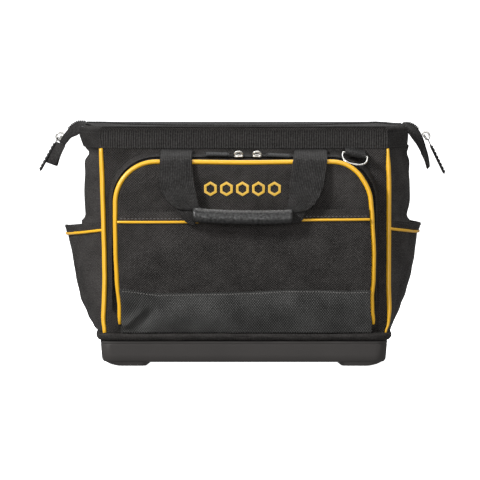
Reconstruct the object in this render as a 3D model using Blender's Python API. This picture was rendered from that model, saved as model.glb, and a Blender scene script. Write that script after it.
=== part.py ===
"""Framed tool bag with a moulded base, a zip-topped mouth and a front zip pocket.

Metres, +Z up. The front faces -Y and the bag stands on Z = 0.
Sizes below are measured from the middle of the base. The empty "bag" then moves
everything by depth_shift, so that the middle of the whole bag's box is the origin.
"""

import math

import bmesh
import bpy
from mathutils import Vector

# Clearance between pieces that touch on the real bag
clearance = 0.0003

# The front handle stands further out than the back of the base does
depth_shift = 0.0170

# Moulded base tray and its feet
base_width = 0.348
base_depth = 0.215
base_corner_radius = 0.014
tray_inner_radius = 0.005
tray_wall = 0.004
tray_floor = 0.003
tray_under = 0.0052
tray_top = 0.0310
tray_fillet = 0.0060
tray_draft = 0.0012
foot_size = 0.0342
foot_flare = 0.0080
foot_side_inset = 0.0204
foot_front_inset = 0.0050
foot_shoulder_inset = 0.0052
foot_face_inset = 0.0030
foot_level_shares = ((0.0, 0.0), (0.55, 0.68), (1.0, 1.0))
foot_corner_radius = 0.010

# Stiffening board on the tray floor
board_thickness = 0.003

# Binding roll over the seam between tray and fabric
binding_height = 0.0099
binding_overhang = 0.0077

# Body walls
wall_thickness = 0.004
body_corner_x = 0.1730
corner_rise = 0.020
mouth_depth = 0.152
side_bulge = 0.0240
side_bulge_height = 0.170
side_roundness = 1.7
wall_row_shares = (0.35, 0.70)

# Piping
corner_piping_radius = 0.0029
arch_piping_radius = 0.0028
rim_piping_radius = 0.0018
hem_piping_radius = 0.0015

# Mouth band: webbing folded over a steel stay
band_bottom = 0.2648
band_top = 0.2920
band_webbing = 0.0016
band_thickness = 0.0050
band_overhang = 0.0010
band_corner_x = 0.1770
band_side_bulge = 0.0260
stay_thickness = 0.0012
stay_height = 0.0180

# Zip flaps that close the mouth
flap_thickness = 0.0013
flap_ridge_rise = 0.0004
flap_hem = 0.0005
flap_end_x = 0.1955
flap_corner_x = 0.1740
teeth_width = 0.0024
teeth_height = 0.0014
teeth_half_length = 0.1720

# Zip tail that runs past each end of the mouth
tail_thickness = 0.0024
tail_half_width = 0.0140
tail_hem_share = 1 / 3
gable_rise_share = 0.50
gable_width_share = 0.75
tail_ridge_shares = ((0.0, 1.03), (0.25, 1.015), (0.40, 0.86), (0.55, 0.70), (1.0, 0.0))
tail_edge_shares = ((0.0, 0.97), (0.25, 0.98), (0.34, 0.64), (0.45, 0.36), (0.84, -0.23))
tail_start_gap = 0.0020
tail_run = 0.0271
tail_drop = 0.0268
tail_end_fall = 0.0242
left_tab_run = 0.0140
right_tab_run = 0.0050
tab_drop = 0.0280
tab_edge_back = 0.0040
tab_edge_drop = 0.0035
tab_half_width = 0.0130

# Sliders and pulls of the main zip
slider_length = 0.0090
slider_width = 0.0085
slider_height = 0.0030
bridge_width = 0.0026
bridge_height = 0.0040
bridge_wall = 0.0010
bridge_reach_share = 0.375
bridge_shoulder_share = 0.60
slider_plate_shares = ((0.0, 0.85), (1 / 3, 1.0), (1.0, 0.80))
slider_outline_shares = (
    (-1.0, -0.7), (-0.6, -1.0), (1.0, -0.8), (1.0, 0.8), (-0.6, 1.0), (-1.0, 0.7),
)
pull_length = 0.0465
pull_width = 0.0100
pull_thickness = 0.0030
pull_bar = 0.0010
pull_seat_share = 0.30
pull_corner_shares = (0.70, 0.40)
pull_end_shares = ((0.45, 0.60), (0.80, 1.0), (1.0, 1.0), (0.75, 0.60))
pull_eye_length = 0.0080
pull_eye_width = 0.0062
main_slider_travel_room = 0.0020
left_pull_lean = math.radians(31.0)
right_pull_lean = math.radians(26.0)

# Front pocket: a wedge with an arched front
pocket_half_width = 0.1570
pocket_top = 0.2504
pocket_corner_radius = 0.0500
pocket_root_half_width = 0.1655
pocket_root_top = 0.2612
pocket_root_radius = 0.0580
pocket_low_depth = 0.0053
pocket_high_depth = 0.0400
pocket_fabric = 0.0030
gusset_swell = 0.0002

# Zip chain round the gusset
chain_width = 0.0050
chain_thickness = 0.0014
chain_seat_gap = 0.0005
chain_depth_share = 0.52
chain_foot_height = 0.0880

# Sliders and pulls of the pocket zip
pocket_slider_x = 0.0118
pocket_pair_offset = 0.0042
pocket_slider_length = 0.0080
pocket_pull_length = 0.0330
pocket_pull_rise = math.radians(4.0)

# Kick panel, slip pocket and hem
kick_top = 0.0915
kick_thickness = 0.0024
panel_side_gap = 0.0034
slip_thickness = 0.0020
hem_height = 0.1800
hem_gap = 0.0064
back_kick_half_width = 0.1660

# Slack of a sewn-on pocket: full in its middle, none at its bottom and its two sides
slack_rise_power = 3
slack_side_power = 6
slack_column_shares = (-1.0, -0.93, -0.82, -0.65, -0.4, 0.0, 0.4, 0.65, 0.82, 0.93, 1.0)
slack_row_shares = (0.0, 0.12, 0.25, 0.45, 0.7, 1.0)

# Side pockets
side_pocket_fabric = 0.0025
side_pocket_low_reach = 0.0087
side_pocket_reach = 0.0462
side_pocket_roundness = 2.2
rim_corner_height = 0.1770
rim_sag = 0.0080
rim_piping_drop = 0.0100
side_pocket_edge_share = 0.955
side_pocket_seam_gap = 0.0013
side_pocket_belly_share = 1.30
rim_piping_reach_share = 0.97
rim_step_share = 0.02

# Organiser inside, on the back wall
organiser_bottom = 0.0450
organiser_top = 0.1500
organiser_half_width = 0.1400
organiser_gap = 0.0120
organiser_fabric = 0.0020

# Handles: flat webbing round a padded grip
webbing_width = 0.0380
webbing_thickness = 0.0024
leg_x = 0.0822
strap_root_stand_off = 0.0040
strap_root_drop = 0.0020
strap_fold_stand_off = 0.0052
strap_fold_rise = 0.0054
strap_joint_gap = 0.0010
grip_half_length = 0.0615
grip_height = 0.0180
grip_depth = 0.0160
grip_wall = 0.0030
grip_z = 0.1862
grip_stand_off = 0.0005
back_grip_z = 0.1510
leg_turn_height = 0.0150
leg_outer_shares = ((0.0, 0.0), (-0.05, 0.55), (-0.25, 0.85))
leg_inner_shares = ((0.0, 0.0), (0.0, 0.60), (0.12, 1.02))
turn_outer_shares = ((-0.65, -1.2), (-1.45, 1.0))
turn_inner_shares = ((0.20, -1.4), (-0.10, -1.0))
grip_squareness = 0.70
grip_core_squareness = 1.60
grip_end_share = 0.93
grip_taper_share = 0.82

# D-rings and their tabs
ring_x = 0.1361
ring_wire_radius = 0.0012
ring_width = 0.0330
ring_length = 0.0210
ring_corner_radius = 0.0080
ring_tab_width = 0.0250
ring_tab_thickness = 0.0014
ring_bore_clearance = 0.0004
ring_seam_share = 0.05
front_ring_stand_off = 0.0160
front_ring_drop = 0.0068
front_ring_lean = math.radians(72.5)
front_ring_roll = math.radians(14.0)
back_ring_drop = 0.0078
back_ring_lean = math.radians(9.0)

# Heights that follow from the sizes above
binding_bottom = tray_top + clearance
binding_top = binding_bottom + binding_height
board_bottom = tray_under + tray_floor + clearance
wall_bottom = board_bottom + board_thickness + clearance
wall_top = band_bottom - clearance
fabric_foot = binding_top + clearance
wall_low_y = base_depth / 2 - tray_wall - clearance
wall_high_y = mouth_depth / 2
base_corner_x = base_width / 2 - tray_wall - clearance
band_outer_y = wall_high_y + band_overhang
tail_start_x = flap_end_x + tail_start_gap
tail_end_z = band_top - tail_end_fall
strap_root_y = wall_high_y + strap_root_stand_off
strap_root_z = band_bottom - strap_root_drop
strap_fold_y = wall_high_y + pocket_high_depth + strap_fold_stand_off
strap_fold_z = pocket_top + strap_fold_rise
front_ring_y = wall_high_y + front_ring_stand_off
front_ring_z = band_bottom - front_ring_drop
back_ring_z = band_bottom - back_ring_drop

FRONT = -1
BACK = 1
LEFT = -1
RIGHT = 1


def clamp01(value):
    return min(1.0, max(0.0, value))


def smooth(value):
    """Smooth step from 0 to 1."""
    share = clamp01(value)
    return share * share * (3 - 2 * share)


def mix(low, high, share):
    return low + (high - low) * share


def steps(count):
    """Shares from 0 to 1 in equal steps."""
    return [index / count for index in range(count + 1)]


def along(table, share):
    """Read a polyline, given as points, at a share of its number of segments."""
    place = clamp01(share) * (len(table) - 1)
    index = min(int(place), len(table) - 2)
    part = place - index
    return tuple(mix(a, b, part) for a, b in zip(table[index], table[index + 1]))


# Scene, materials and objects


def clear_scene():
    for obj in list(bpy.data.objects):
        bpy.data.objects.remove(obj, do_unlink=True)


def material(name, colour, roughness, metallic=0.0):
    """Principled material with the colour, roughness and metallic value of a part."""
    made = bpy.data.materials.get(name)
    if made:
        return made
    made = bpy.data.materials.new(name)
    made.use_nodes = True
    shader = made.node_tree.nodes["Principled BSDF"]
    shader.inputs["Base Color"].default_value = (*colour, 1.0)
    shader.inputs["Roughness"].default_value = roughness
    shader.inputs["Metallic"].default_value = metallic
    made.diffuse_color = (*colour, 1.0)
    return made


def fabric():
    return material("charcoal_fabric", (0.040, 0.038, 0.037), 0.85)


def webbing():
    return material("dark_webbing", (0.045, 0.043, 0.041), 0.75)


def yellow():
    return material("yellow_piping", (0.90, 0.50, 0.035), 0.55)


def moulded():
    return material("moulded_plastic", (0.060, 0.058, 0.055), 0.55)


def nickel():
    return material("nickel", (0.72, 0.72, 0.70), 0.28, 1.0)


def rubber():
    return material("black_rubber", (0.020, 0.020, 0.020), 0.60)


def leatherette():
    return material("grip_leatherette", (0.028, 0.027, 0.027), 0.65)


def board_stock():
    return material("stiffening_board", (0.10, 0.09, 0.08), 0.80)


def steel():
    return material("spring_steel", (0.45, 0.46, 0.48), 0.35, 1.0)


def place(obj, parent, origin=(0.0, 0.0, 0.0)):
    """Parent an object, with its own origin at a point, given from the base's middle."""
    bpy.context.collection.objects.link(obj)
    obj.parent = parent
    obj.location = Vector(origin) - Vector(parent["base_place"])
    return obj


def empty(name, origin, parent=None):
    """Empty on a joint's axis, or at the middle of the base."""
    made = bpy.data.objects.new(name, None)
    made.empty_display_size = webbing_width
    made["base_place"] = list(origin)
    bpy.context.collection.objects.link(made)
    if parent:
        made.parent = parent
        made.location = Vector(origin) - Vector(parent["base_place"])
    return made


def finish_mesh(name, mesh_data, parent, look, sharp=math.radians(35.0)):
    """Turn a closed bmesh in base coordinates into an object at its parent's origin."""
    bmesh.ops.remove_doubles(mesh_data, verts=mesh_data.verts, dist=0.00001)
    bmesh.ops.recalc_face_normals(mesh_data, faces=mesh_data.faces)
    shift = Vector(parent["base_place"])
    bmesh.ops.translate(mesh_data, verts=mesh_data.verts, vec=-shift)
    mesh = bpy.data.meshes.new(name)
    mesh_data.to_mesh(mesh)
    mesh_data.free()
    mesh.materials.append(look)
    mesh.shade_smooth()
    mesh.set_sharp_from_angle(angle=sharp)
    obj = bpy.data.objects.new(name, mesh)
    return place(obj, parent, shift)


def shell(name, outer, inner, columns, rows, parent, look):
    """Closed sheet between two surfaces, each a function of two shares."""
    made = bmesh.new()
    sides = []
    for surface in (outer, inner):
        grid = [[made.verts.new(surface(u, v)) for u in columns] for v in rows]
        sides.append(grid)
    last_row = len(rows) - 1
    last_column = len(columns) - 1
    for grid, flip in zip(sides, (False, True)):
        for row in range(last_row):
            for column in range(last_column):
                corners = [grid[row][column], grid[row][column + 1]]
                corners += [grid[row + 1][column + 1], grid[row + 1][column]]
                made.faces.new(corners[::-1] if flip else corners)
    rim = [(0, column) for column in range(last_column)]
    rim += [(row, last_column) for row in range(last_row)]
    rim += [(last_row, column) for column in range(last_column, 0, -1)]
    rim += [(row, 0) for row in range(last_row, 0, -1)]
    out, back = sides
    for (r0, c0), (r1, c1) in zip(rim, rim[1:] + rim[:1]):
        made.faces.new((out[r1][c1], out[r0][c0], back[r0][c0], back[r1][c1]))
    return finish_mesh(name, made, parent, look)


def loft(name, sections, parent, look, closed=False):
    """Closed body through sections of equal point counts, capped unless it is a ring."""
    made = bmesh.new()
    rings = [[made.verts.new(point) for point in section] for section in sections]
    pairs = list(zip(rings, rings[1:]))
    if closed:
        pairs.append((rings[-1], rings[0]))
    for first, second in pairs:
        count = len(first)
        for index in range(count):
            follow = (index + 1) % count
            made.faces.new((first[index], first[follow], second[follow], second[index]))
    if not closed:
        made.faces.new(rings[0][::-1])
        made.faces.new(rings[-1])
    return finish_mesh(name, made, parent, look)


def ring_prism(name, outer, inner, spread, parent, look):
    """Flat ring between two outlines of equal point counts, given a width both ways.

    The outlines are points and spread is the vector from the middle to one side.
    """
    sections = []
    for points, way in ((outer, -1), (outer, 1), (inner, 1), (inner, -1)):
        sections.append([Vector(point) + spread * way for point in points])
    return loft(name, sections, parent, look, closed=True)


def tube(name, points, radius, parent, look, resolution=2, cyclic=False):
    """Round cord along points, as a curve with a bevel and filled caps."""
    data = bpy.data.curves.new(name, "CURVE")
    data.dimensions = "3D"
    data.bevel_depth = radius
    data.bevel_resolution = resolution
    data.use_fill_caps = True
    spline = data.splines.new("POLY")
    spline.points.add(len(points) - 1)
    shift = Vector(parent["base_place"])
    for slot, point in zip(spline.points, points):
        slot.co = (*(Vector(point) - shift), 1.0)
    spline.use_cyclic_u = cyclic
    data.materials.append(look)
    obj = bpy.data.objects.new(name, data)
    return place(obj, parent, shift)


def join(target, tool, operation):
    """Boolean of two objects, left as a modifier. The tool is only a guide."""
    tool.hide_render = True
    tool.display_type = "WIRE"
    change = target.modifiers.new(operation.lower(), "BOOLEAN")
    change.object = tool
    change.operation = operation
    return target


def rounded_rectangle(half_x, half_y, radius, z, corner_steps=5):
    """Points of a rounded rectangle, anticlockwise seen from above."""
    points = []
    quarters = ((1, 1, 0.0), (-1, 1, 0.25), (-1, -1, 0.5), (1, -1, 0.75))
    for side_x, side_y, start in quarters:
        centre_x = side_x * (half_x - radius)
        centre_y = side_y * (half_y - radius)
        for share in steps(corner_steps):
            angle = math.tau * (start + share / 4)
            x = centre_x + radius * math.cos(angle)
            y = centre_y + radius * math.sin(angle)
            points.append(Vector((x, y, z)))
    return points


# Shape of the body, from the middle of the base


def wall_face_y(z):
    """Distance of the outer face of the front or back wall from the middle."""
    rise = clamp01((z - binding_top) / (band_bottom - binding_top))
    return mix(wall_low_y, wall_high_y, rise)


def corner_x(z):
    """Half width between the body's front corners."""
    return mix(base_corner_x, body_corner_x, smooth((z - binding_top) / corner_rise))


def bulge(z):
    """How far the middle of a side panel stands out past its corners."""
    span = side_bulge_height - binding_top
    return side_bulge * smooth((z - binding_top) / span)


def side_profile(share, roundness=side_roundness):
    """Bulge across a side, for a share from -1 at the front to 1 at the back."""
    return 1 - abs(share) ** roundness


def side_x(z, share):
    return corner_x(z) + bulge(z) * side_profile(share)


def pocket_face_y(z):
    """Distance of the front pocket's outer face from the middle."""
    rise = clamp01((z - fabric_foot) / (pocket_top - fabric_foot))
    depth = mix(pocket_low_depth, pocket_high_depth, 1 - (1 - rise) ** 2)
    return wall_face_y(z) + depth


def arch_half_width(z, half_width, top, radius):
    """Half width of an upright arch with round shoulders at a height."""
    over = clamp01((z - (top - radius)) / radius)
    return half_width - radius + radius * math.sqrt(1 - over * over)


def arch_point(share, half_width, top, radius, foot):
    """Point (x, z) of an arch, for a share from 0 at the left foot to 1 at the right."""
    run = share * 5
    shoulder = top - radius
    if run <= 1:
        return -half_width, mix(foot, shoulder, run)
    if run >= 4:
        return half_width, mix(shoulder, foot, run - 4)
    if run < 2:
        angle = math.pi - (run - 1) * math.pi / 2
        side = -1
    elif run > 3:
        angle = math.pi / 2 - (run - 3) * math.pi / 2
        side = 1
    else:
        return mix(-(half_width - radius), half_width - radius, run - 2), top
    x = side * (half_width - radius) + radius * math.cos(angle)
    return x, shoulder + radius * math.sin(angle)


def arch_shares(side_steps, corner_steps, top_steps):
    """Shares for arch_point with the given steps on each stretch."""
    counts = (side_steps, corner_steps, top_steps, corner_steps, side_steps)
    shares = [0.0]
    for stretch, count in enumerate(counts):
        shares += [(stretch + index / count) / 5 for index in range(1, count + 1)]
    return shares


def gusset_point(share, depth, inset):
    """Point of the pocket gusset: share runs round the arch, depth from front to wall."""
    half_width = mix(pocket_half_width, pocket_root_half_width, depth) - inset
    top = mix(pocket_top, pocket_root_top, depth) - inset
    radius = mix(pocket_corner_radius, pocket_root_radius, depth) - inset
    swell = gusset_swell * math.sin(math.pi * depth)
    x, z = arch_point(share, half_width + swell, top + swell, radius, fabric_foot)
    front = pocket_face_y(z) - arch_piping_radius - clearance - pocket_fabric / 2
    back = wall_face_y(z) + clearance
    return Vector((x, -mix(max(front, back + clearance), back, depth), z))


# Base


def build_base(bag):
    half_x = base_width / 2
    half_y = base_depth / 2
    outside = []
    levels = ((tray_fillet, tray_under), (tray_fillet / 3, tray_under + tray_fillet / 3))
    levels += ((tray_draft, tray_under + tray_fillet), (0.0, tray_top))
    for inset, z in levels:
        radius = base_corner_radius - inset
        outside.append(rounded_rectangle(half_x - inset, half_y - inset, radius, z))
    for z in (tray_top, tray_under + tray_floor):
        inner_x = half_x - tray_wall
        outside.append(rounded_rectangle(inner_x, half_y - tray_wall, tray_inner_radius, z))
    tray = loft("base_tray", outside, bag, moulded())
    foot_top = tray_under + tray_floor / 2
    for side in (LEFT, RIGHT):
        for end in (FRONT, BACK):
            sections = []
            for height, spread in foot_level_shares:
                outer_x = half_x - mix(foot_side_inset, foot_shoulder_inset, spread)
                outer_y = half_y - mix(foot_front_inset, foot_face_inset, height)
                inner_x = half_x - foot_side_inset - foot_size - foot_flare * height
                inner_y = half_y - foot_front_inset - foot_size - foot_flare * height
                half_wide = (outer_x - inner_x) / 2
                half_deep = (outer_y - inner_y) / 2
                outline = rounded_rectangle(half_wide, half_deep, foot_corner_radius, foot_top * height, 3)
                centre = Vector((side * (outer_x + inner_x) / 2, end * (outer_y + inner_y) / 2, 0.0))
                sections.append([point + centre for point in outline])
            foot = loft(f"foot_guide_{side}_{end}", sections, bag, moulded())
            join(tray, foot, "UNION")

    board_inset = tray_wall + clearance
    board = []
    for z in (board_bottom, board_bottom + board_thickness):
        board_x = half_x - board_inset
        board.append(rounded_rectangle(board_x, half_y - board_inset, tray_inner_radius, z))
    loft("base_board", board, bag, board_stock())

    middle_z = (binding_bottom + binding_top) / 2
    half_height = binding_height / 2
    sections = []
    for index in range(10):
        angle = math.tau * index / 10
        out = math.cos(angle)
        reach = binding_overhang if out > 0 else tray_wall
        spread = reach * out
        z = middle_z + half_height * math.sin(angle)
        radius = base_corner_radius + spread
        if out < 0:
            radius = mix(base_corner_radius, tray_inner_radius, -out)
        sections.append(rounded_rectangle(half_x + spread, half_y + spread, radius, z))
    loft("base_binding", sections, bag, fabric(), closed=True)


# Walls and corner piping


def wall_point(end, u, z, inset):
    half = corner_x(z) - corner_piping_radius - clearance
    return Vector((u * half, end * (wall_face_y(z) - inset), z))


def side_point(side, share, z, inset):
    reach = wall_face_y(z) - wall_thickness - clearance
    return Vector((side * (side_x(z, share) - inset), share * reach, z))


def build_walls(bag):
    middle = tuple(mix(binding_top, wall_top, share) for share in wall_row_shares)
    heights = (wall_bottom, binding_top) + middle + (wall_top,)
    for name, end in (("front_wall", FRONT), ("back_wall", BACK)):
        shell(
            name,
            lambda u, z, end=end: wall_point(end, u, z, 0.0),
            lambda u, z, end=end: wall_point(end, u, z, wall_thickness),
            (-1.0, 0.0, 1.0), heights, bag, fabric(),
        )
    heights = (wall_bottom, binding_top) + tuple(
        mix(binding_top, side_bulge_height, share) for share in steps(5)[1:]
    ) + (wall_top,)
    shares = [2 * share - 1 for share in steps(10)]
    for name, side in (("left_side_panel", LEFT), ("right_side_panel", RIGHT)):
        shell(
            name,
            lambda t, z, side=side: side_point(side, t, z, 0.0),
            lambda t, z, side=side: side_point(side, t, z, wall_thickness),
            shares, heights, bag, fabric(),
        )
    for name_x, side in (("left", LEFT), ("right", RIGHT)):
        for name_y, end in (("front", FRONT), ("back", BACK)):
            points = []
            for share in steps(8):
                z = mix(fabric_foot, wall_top, share)
                points.append((side * corner_x(z), end * wall_face_y(z), z))
            tube(f"{name_y}_{name_x}_corner_piping", points, corner_piping_radius, bag, yellow())


# Mouth band, stays and zip flaps


def mouth_plan(end, inset):
    """Half of the mouth's outline, from the left end to the right, with an inset."""
    gap = clearance / 2
    face = band_outer_y - inset
    points = []
    for share in steps(6):
        x = band_corner_x - inset + band_side_bulge * side_profile(share)
        points.append((-x, mix(gap, face, share)))
    points += [(0.0, face)]
    points += [(-x, y) for x, y in reversed(points[:-1])]
    return [Vector((x, end * y, 0.0)) for x, y in points]


def band_sections(end, profile):
    """Sections of a strip that follows the mouth, from (inset, z) points."""
    rails = [[point + Vector((0, 0, z)) for point in mouth_plan(end, inset)]
             for inset, z in profile]
    return [list(section) for section in zip(*rails)]


def build_mouth(bag):
    skin = band_webbing
    fold = [(0.0, band_bottom), (0.0, band_top), (band_thickness, band_top)]
    fold += [(band_thickness, band_bottom), (band_thickness - skin, band_bottom)]
    fold += [(band_thickness - skin, band_top - skin), (skin, band_top - skin)]
    fold += [(skin, band_bottom)]
    stay_top = band_top - skin - clearance
    stay_low = stay_top - stay_height
    stay_out = (band_thickness - stay_thickness) / 2
    stay_in = stay_out + stay_thickness
    stay = [(stay_out, stay_low), (stay_out, stay_top), (stay_in, stay_top), (stay_in, stay_low)]
    for name, end in (("front", FRONT), ("back", BACK)):
        loft(f"{name}_mouth_band", band_sections(end, fold), bag, webbing())
        loft(f"{name}_mouth_stay", band_sections(end, stay), bag, steel())


def flap_hinge(end):
    return Vector((0.0, end * (band_outer_y - flap_hem), band_top + clearance))


def flap_point(end, u, share, lift):
    """Point of a zip flap: share runs from its hinge to the ridge in the middle."""
    y = mix(band_outer_y - flap_hem, clearance, share)
    half = mix(flap_corner_x, flap_end_x, 1 - (1 - share) ** side_roundness)
    z = band_top + clearance + flap_ridge_rise * smooth(share) + lift
    return Vector((u * half, end * y, z))


def build_flaps(bag):
    across = [2 * share - 1 for share in steps(8)]
    for name, end in (("front", FRONT), ("back", BACK)):
        hinge = empty(f"{name}_flap_hinge", flap_hinge(end), bag)
        shell(
            f"{name}_zip_flap",
            lambda u, v, end=end: flap_point(end, u, v, flap_thickness),
            lambda u, v, end=end: flap_point(end, u, v, 0.0),
            across, steps(4), hinge, fabric(),
        )
        low = band_top + clearance + flap_ridge_rise + flap_thickness + clearance
        near = end * clearance
        far = end * (clearance + teeth_width)
        sections = []
        for x in (-teeth_half_length, teeth_half_length):
            section = ((x, near, low), (x, far, low), (x, far, low + teeth_height))
            section += ((x, near, low + teeth_height),)
            sections.append([Vector(point) for point in section])
        loft(f"{name}_zip_teeth", sections, hinge, nickel())


# Zip tails, end tabs, main sliders and pulls


def tail_ridge(side, share):
    run, height = along(tail_ridge_shares, share)
    return Vector((side * (tail_start_x + run * tail_run), 0.0, tail_end_z + height * tail_drop))


def tail_edge(side, way, share):
    run, height = along(tail_edge_shares, share)
    x = side * (tail_start_x + run * tail_run)
    return Vector((x, way * tail_half_width, tail_end_z + height * tail_drop))


def tail_direction(side):
    """Unit vector down the straight end of the tail."""
    last = len(tail_ridge_shares) - 1
    return (tail_ridge(side, 1.0) - tail_ridge(side, (last - 1) / last)).normalized()


def tail_normal(side):
    """Unit vector out of the ridge at the tail's end."""
    down = tail_direction(side)
    return Vector((-down.z * side, 0.0, down.x * side))


def tail_section(side, ridge, edge, half_width):
    """Gable section of the tail: outer points, then inner points."""
    out = Vector((ridge.x - edge.x, 0.0, ridge.z - edge.z)).normalized()
    inner_ridge = ridge - out * tail_thickness
    middle = ridge.lerp(edge, gable_rise_share)
    edges = []
    shoulders = []
    for way in (-1, 1):
        edges.append(Vector((edge.x, way * half_width, edge.z)))
        shoulders.append(Vector((middle.x, way * half_width * gable_width_share, middle.z)))
    lower = [point - out * tail_thickness for point in shoulders]
    feet = [point - out * tail_thickness * tail_hem_share for point in edges]
    outline = [edges[0], shoulders[0], ridge, shoulders[1], edges[1]]
    outline += [feet[1], lower[1], inner_ridge, lower[0], feet[0]]
    return outline


def slider(name, seat, down, out, length, parent):
    """Zip slider on a seat point: a plate with a bridge that the pull's bar runs under."""
    across = down.cross(out).normalized()
    half_length = length / 2
    half_width = slider_width / 2
    low = seat + out * clearance
    plate = []
    for height, share in slider_plate_shares:
        centre = low + out * slider_height * height
        x = half_length * share
        y = half_width * share
        plate.append([centre + down * x * a + across * y * b for a, b in slider_outline_shares])
    body = loft(name, plate, parent, nickel())
    foot = low + out * (slider_height - bridge_wall)
    reach = length * bridge_reach_share
    tall = bridge_height + bridge_wall
    outlines = []
    for arch_reach, arch_top, low_end in (
        (reach, tall, 0.0),
        (reach - bridge_wall, tall - bridge_wall, bridge_wall / 2),
    ):
        shoulder = arch_top * bridge_shoulder_share
        top_reach = arch_reach * bridge_shoulder_share
        arch = ((-arch_reach, low_end), (-arch_reach, shoulder), (-top_reach, arch_top))
        arch += ((top_reach, arch_top), (arch_reach, shoulder), (arch_reach, low_end))
        outlines.append([foot + down * a + out * b for a, b in arch])
    outer, inner = outlines
    spread = across * bridge_width / 2
    bridge = ring_prism(f"{name}_bridge_guide", outer, inner, spread, parent, nickel())
    return join(body, bridge, "UNION")


def pull_pivot(seat, down, out, length):
    """Middle of the pull's bar, at the lower end of the bridge."""
    reach = length * bridge_reach_share - bridge_wall - pull_bar - clearance
    height = clearance + slider_height + bridge_height * pull_seat_share
    return seat + down * reach + out * height


def pull(name, pivot, along_pull, across, length, parent):
    """Pull: an eye whose bar runs under the bridge, and a ribbed grip below it."""
    face = across.cross(along_pull).normalized()
    half_eye = pull_eye_width / 2
    bar = pull_bar / 2
    hole_half = half_eye - pull_bar
    hole_end = pull_eye_length - pull_bar
    outer = ((-bar, -half_eye), (pull_eye_length, -half_eye))
    outer += ((pull_eye_length, half_eye), (-bar, half_eye))
    hole = ((bar, -hole_half), (hole_end, -hole_half), (hole_end, hole_half), (bar, hole_half))
    eye = ring_prism(
        f"{name}_eye_guide",
        [pivot + along_pull * a + across * b for a, b in outer],
        [pivot + along_pull * a + across * b for a, b in hole],
        face * pull_bar / 2, parent, rubber(),
    )
    start = hole_end - pull_bar / 2
    taper = pull_eye_length / 3
    distances = (start, start + taper, length - taper, length)
    flat, edge = pull_corner_shares
    corners = [(-1.0, -edge), (-flat, -1.0), (flat, -1.0), (1.0, -edge)]
    corners += [(1.0, edge), (flat, 1.0), (-flat, 1.0), (-1.0, edge)]
    sections = []
    for distance, (wide, thick) in zip(distances, pull_end_shares):
        centre = pivot + along_pull * distance
        wide_way = across * pull_width / 2 * wide
        thick_way = face * pull_thickness / 2 * thick
        sections.append([centre + wide_way * a + thick_way * b for a, b in corners])
    body = loft(name, sections, parent, rubber())
    return join(body, eye, "UNION")


def main_slider_seat(side):
    back = slider_length / 2 + main_slider_travel_room
    return tail_ridge(side, 1.0) - tail_direction(side) * back


def build_tails(bag):
    left = ("left", LEFT, left_pull_lean, left_tab_run)
    right = ("right", RIGHT, right_pull_lean, right_tab_run)
    for name, side, lean, tab_run in (left, right):
        sections = []
        for share in steps(len(tail_ridge_shares) - 1):
            ridge = tail_ridge(side, share)
            edge = tail_edge(side, 1, share)
            sections.append(tail_section(side, ridge, edge, tail_half_width))
        loft(f"{name}_zip_tail", sections, bag, fabric())

        down = tail_direction(side)
        top = tail_ridge(side, 1.0) + down * clearance
        top_edge = tail_edge(side, 1, 1.0) + down * clearance * 2
        sections = []
        for share in steps(2):
            drop = Vector((side * tab_run * share, 0.0, -tab_drop * share))
            fall = tab_drop + tab_edge_drop
            edge_drop = Vector((side * (tab_run - tab_edge_back) * share, 0.0, -fall * share))
            section = tail_section(side, top + drop, top_edge + edge_drop, tab_half_width)
            sections.append(section)
        loft(f"{name}_tail_tab", sections, bag, webbing())

        seat = main_slider_seat(side)
        out = tail_normal(side)
        slide = empty(f"{name}_main_slide", seat, bag)
        slider(f"{name}_main_slider", seat, down, out, slider_length, slide)
        pivot = pull_pivot(seat, down, out, slider_length)
        hinge = empty(f"{name}_main_pull_hinge", pivot, slide)
        hang = Vector((side * math.sin(lean), 0.0, -math.cos(lean)))
        pull(f"{name}_main_pull", pivot, hang, Vector((0.0, 1.0, 0.0)), pull_length, hinge)


# Front pocket


def pocket_panel_point(u, share, inset):
    """Point on the pocket's front, inside the arch piping, with an inset into the fabric."""
    gap = arch_piping_radius + clearance
    z = mix(fabric_foot, pocket_top - gap, share)
    radius = pocket_corner_radius - gap
    half = arch_half_width(z, pocket_half_width - gap, pocket_top - gap, radius)
    return Vector((u * half, -(pocket_face_y(z) - inset), z))


def arch_line(share):
    """Middle line of the arch piping."""
    x, z = arch_point(share, pocket_half_width, pocket_top, pocket_corner_radius, fabric_foot)
    return Vector((x, -(pocket_face_y(z) - pocket_fabric / 2), z))


def slack(u, rise):
    """Share of a sewn-on pocket's full slack, from its side to side and its bottom up."""
    return (1 - (1 - rise) ** slack_rise_power) * (1 - abs(u) ** slack_side_power)


def slip_gap(u, z):
    """Slack of the slip pocket in front of the pocket's face."""
    rise = clamp01((z - kick_top) / (hem_height - kick_top))
    return hem_gap * slack(u, rise)


def slip_point(u, share, inset):
    z = mix(kick_top + clearance, hem_height, share)
    half = pocket_half_width - panel_side_gap
    y = pocket_face_y(z) + clearance + slip_gap(u, z) + slip_thickness - inset
    return Vector((u * half, -y, z))


def kick_point(u, share, inset):
    z = mix(fabric_foot, kick_top, share)
    half = pocket_half_width - panel_side_gap
    return Vector((u * half, -(pocket_face_y(z) + clearance + kick_thickness - inset), z))


def hem_line(u):
    half = pocket_half_width - panel_side_gap
    z = hem_height - hem_piping_radius
    y = pocket_face_y(z) + slip_gap(u, z) + slip_thickness + hem_piping_radius + clearance * 2
    return Vector((u * half, -y, z))


def chain_point(share, across, lift):
    """Point of the zip chain on the gusset; across runs from -1 at the front to 1."""
    depth = abs(gusset_point(share, 0.0, 0.0).y - gusset_point(share, 1.0, 0.0).y)
    return gusset_point(share, chain_depth_share + across * chain_width / 2 / depth, -lift)


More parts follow.
